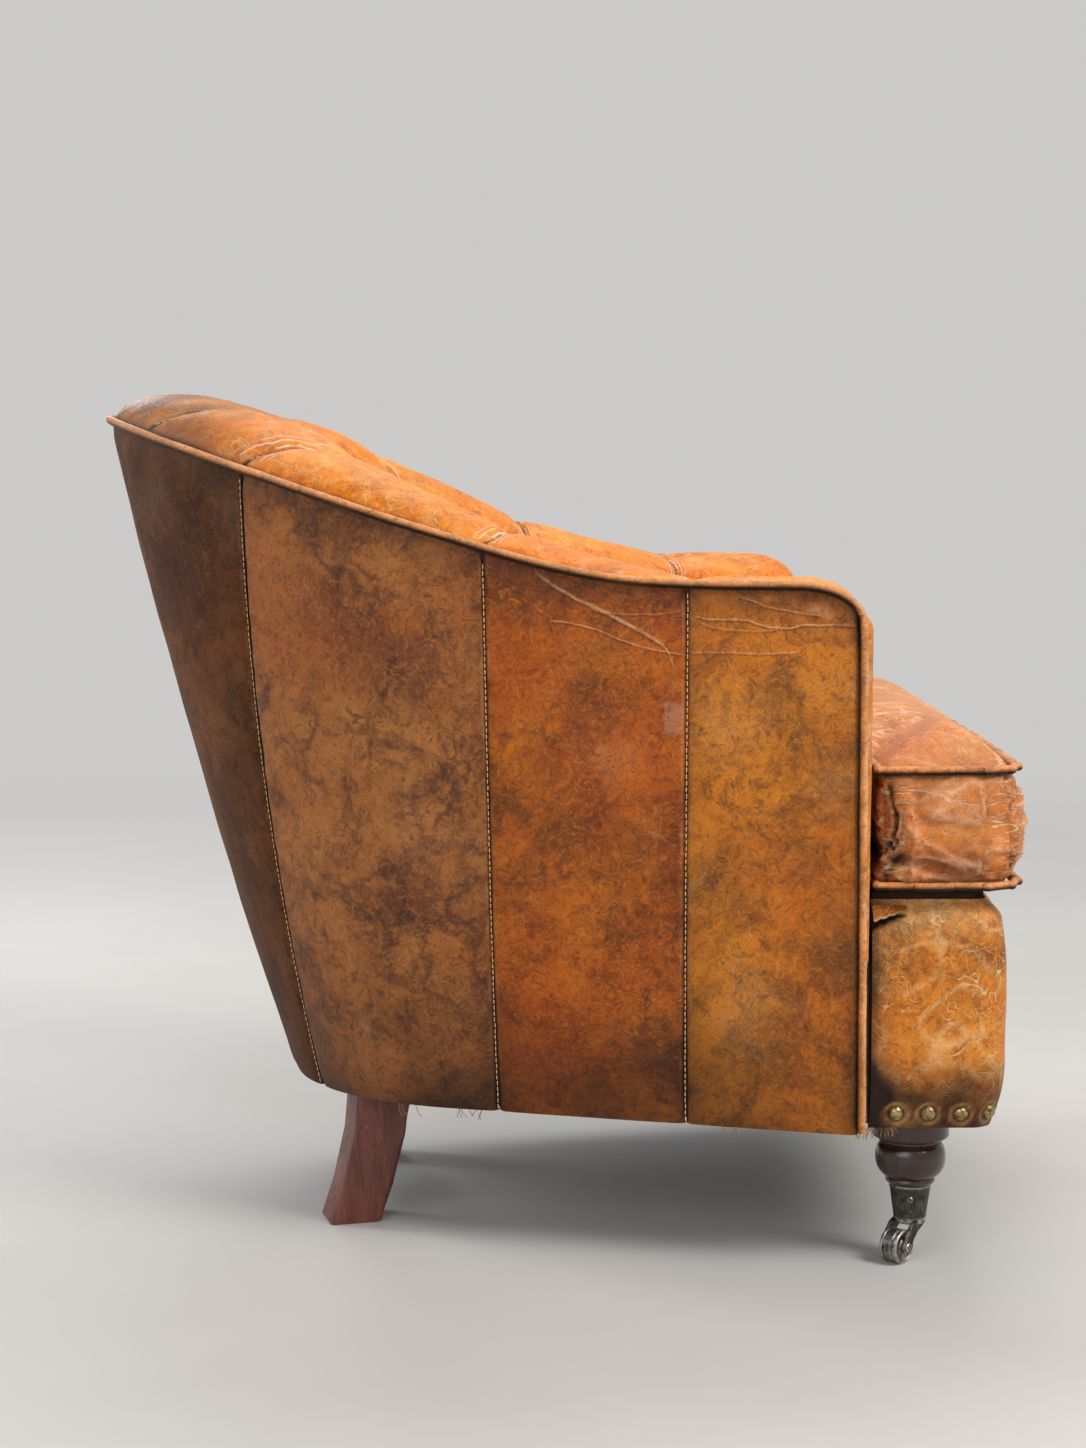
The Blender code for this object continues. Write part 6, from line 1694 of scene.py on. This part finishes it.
def seat_deck_padding():
    """The padded platform under the cushion, soft and rounded at its rim."""
    corners = [v.co for v in bpy.data.objects["seat_deck"].data.vertices]
    top = max(p.z for p in corners)
    rim = sorted({(round(p.x, 5), round(p.y, 5)) for p in corners if p.y > 0.0 and top - p.z < 0.0002})
    under = sorted({(round(p.x, 5), round(p.z, 5)) for p in corners if p.y > 0.0 and top - p.z > 0.0002})
    rim_x = [x for x, _ in rim]
    stations = np.unique(np.concatenate([rim_x, np.linspace(rim_x[0], rim_x[-1], 70)]))
    across, round_run, round_depth = 40, 0.014, 0.006
    points = []
    for x in stations:
        half = np.interp(x, rim_x, [y for _, y in rim])
        low = np.interp(x, [u for u, _ in under], [z for _, z in under])
        points += [(x, -half, low), (x, half, low)]
        for t in np.cos(np.linspace(0.0, math.pi, across)):
            y = half * t
            inside = min(half - abs(y), x - rim_x[0], rim_x[-1] - x)
            past = 1.0 - min(1.0, inside / round_run)
            z = top - round_depth * (1.0 - math.sqrt(1.0 - past**2))
            z -= 0.0012 * (0.5 + 0.5 * wave((x, y, z), 24.0, 15.0)) * (1.0 - past)
            points.append((x, y, z))
    made = make_mesh("seat_deck_padding", points, ring_faces(len(stations), across + 2), DECK_CLOTH)
    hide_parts("seat_deck")


def dust_cover_cloth():
    """The black cloth tacked under the rails: it sags a little and ripples between its tacks."""
    low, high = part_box("dust_cover")
    made = node_mesh_copy("dust_cover", "dust_cover_cloth")
    bm = bmesh.new()
    bm.from_mesh(made.data)
    for axis, step in ((0, 0.016), (1, 0.016)):
        count = int((high[axis] - low[axis]) / step)
        for n in range(1, count):
            spot, way = Vector(low), Vector()
            spot[axis] = mix(low[axis], high[axis], n / count)
            way[axis] = 1.0
            bmesh.ops.bisect_plane(bm, geom=bm.verts[:] + bm.edges[:] + bm.faces[:], plane_co=spot, plane_no=way)
    area = sum(f.calc_area() for f in bm.faces) / 2.0
    middle = (Vector(low) + Vector(high)) / 2.0
    reach = (Vector(high) - Vector(low)) / 2.0
    for v in bm.verts:
        x, y = (v.co.x - middle.x) / reach.x, (v.co.y - middle.y) / reach.y
        inside = max(0.0, 1.0 - x * x) * max(0.0, 1.0 - y * y)
        v.co.z -= 0.007 * inside + 0.0008 * (0.5 + 0.5 * wave(v.co, 26.0, 6.0))
    bm.to_mesh(made.data)
    bm.free()
    made.data.shade_smooth()
    made.data.set_sharp_from_angle(angle=math.radians(40.0))
    made.data.materials.append(DUST_CLOTH)
    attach(made, "root")
    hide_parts("dust_cover")


def dress_inner_pieces():
    """Materials for the CAD pieces that keep their own shape."""
    for name in frame["nodes"]:
        node = bpy.data.objects[name]
        if node.hide_render:
            continue
        if "spring" in name:
            material = SPRING
        else:
            material = FRAME_WOOD
        node.data.materials.clear()
        node.data.materials.append(material)


# Stage


BACKDROP = (0.60, 0.595, 0.585)


def background_rays(nodes, links):
    """1 for the rays that see the background, 0 for those that light the chair."""
    rays = nodes.new("ShaderNodeLightPath")
    seen = rays.outputs["Is Camera Ray"]
    for kind in ("Is Glossy Ray", "Is Transmission Ray"):
        either = nodes.new("ShaderNodeMath")
        either.operation = "MAXIMUM"
        links.new(seen, either.inputs[0])
        links.new(rays.outputs[kind], either.inputs[1])
        seen = either.outputs[0]
    return seen


def stage():
    """A pale floor that fades into an even backdrop away from the chair."""
    s = Shader("pale floor")
    s.finish(s.blend(s.range(s.noise(1.4, 4.0), 0.3, 0.7), (0.56, 0.545, 0.52), (0.61, 0.595, 0.57)), 0.6,
             specular=0.2)
    spot = s.add("ShaderNodeVectorMath", operation="LENGTH")
    s.feed(spot.inputs[0], s.place)
    away = s.range(spot.outputs["Value"], 1.0, 4.0)
    glow = s.add("ShaderNodeEmission")
    glow.inputs["Color"].default_value = (*BACKDROP, 1.0)
    either = s.add("ShaderNodeMixShader")
    s.feed(either.inputs[0], s.times(away, background_rays(s.tree.nodes, s.tree.links)))
    s.feed(either.inputs[1], s.principled.outputs[0])
    s.feed(either.inputs[2], glow.outputs[0])
    s.feed(s.tree.nodes["Material Output"].inputs["Surface"], either.outputs[0])
    bpy.ops.mesh.primitive_plane_add(size=60.0, location=(0.0, 0.0, 0.0))
    floor = bpy.context.object
    floor.name = "floor"
    floor.data.materials.append(s.material)
    world = bpy.data.worlds.new("soft room")
    bpy.context.scene.world = world
    world.use_nodes = True
    nodes, links = world.node_tree.nodes, world.node_tree.links
    background = nodes["Background"]
    mixed = nodes.new("ShaderNodeMix")
    mixed.data_type = "RGBA"
    links.new(background_rays(nodes, links), mixed.inputs["Factor"])
    mixed.inputs[6].default_value = (0.36, 0.365, 0.375, 1.0)
    mixed.inputs[7].default_value = (*BACKDROP, 1.0)
    links.new(mixed.outputs[2], background.inputs["Color"])


def lamp(name, spot, target, size, power, colour=(1.0, 1.0, 1.0)):
    data = bpy.data.lights.new(name, "AREA")
    data.shape = "RECTANGLE"
    data.size, data.size_y = size
    data.energy = power
    data.color = colour
    made = bpy.data.objects.new(name, data)
    bpy.context.scene.collection.objects.link(made)
    made.visible_camera = False
    made.location = spot
    made.rotation_euler = (Vector(target) - Vector(spot)).to_track_quat("-Z", "Y").to_euler()


def lights():
    lamp("key", (2.6, -1.9, 2.9), (0.05, 0.0, 0.45), (1.6, 1.6), 118.0, (1.0, 0.97, 0.92))
    lamp("fill", (-1.6, -3.4, 1.7), (0.0, 0.0, 0.4), (2.6, 2.2), 42.0, (0.95, 0.97, 1.0))
    lamp("rim", (-2.4, 0.9, 1.9), (-0.3, 0.0, 0.6), (0.6, 1.6), 22.0)
    lamp("edge", (-1.2, 3.2, 1.5), (-0.4, 0.0, 0.7), (0.35, 1.6), 13.0)
    lamp("top", (0.2, 1.5, 3.2), (0.0, 0.0, 0.5), (2.0, 1.4), 46.0)


def camera():
    data = bpy.data.cameras.new("camera")
    data.sensor_fit = "VERTICAL"
    data.sensor_height = SENSOR
    data.lens = PHOTO_FOCAL / PHOTO_SIZE[1] * SENSOR
    made = bpy.data.objects.new("camera", data)
    bpy.context.scene.collection.objects.link(made)
    made.location = CAMERA_SPOT
    made.rotation_euler = (math.radians(90.0) - CAMERA_PITCH, 0.0, 0.0)
    bpy.context.scene.camera = made


camera()
stage()
lights()
outer_panels()
piping("outer_welt_piping", "outer_welt", welt_line(), WELT_RADIUS, seed=2.0, shaded_below=True)
channel_pads()
arm_facings()
seat_cushion()
piping("cushion_piping_top_cord", "cushion_piping_top", centre_line("cushion_piping_top"), PIPING_RADIUS,
       cyclic=True, seed=5.0)
piping("cushion_piping_bottom_cord", "cushion_piping_bottom", centre_line("cushion_piping_bottom"),
       PIPING_RADIUS, cyclic=True, seed=8.0)
front_border()
torn_flap()
outer_stitches()
pad_stitches()
loose_threads()
casters()
rear_legs()
seat_deck_padding()
dust_cover_cloth()
dress_inner_pieces()

bpy.context.scene.view_settings.view_transform = "Standard"
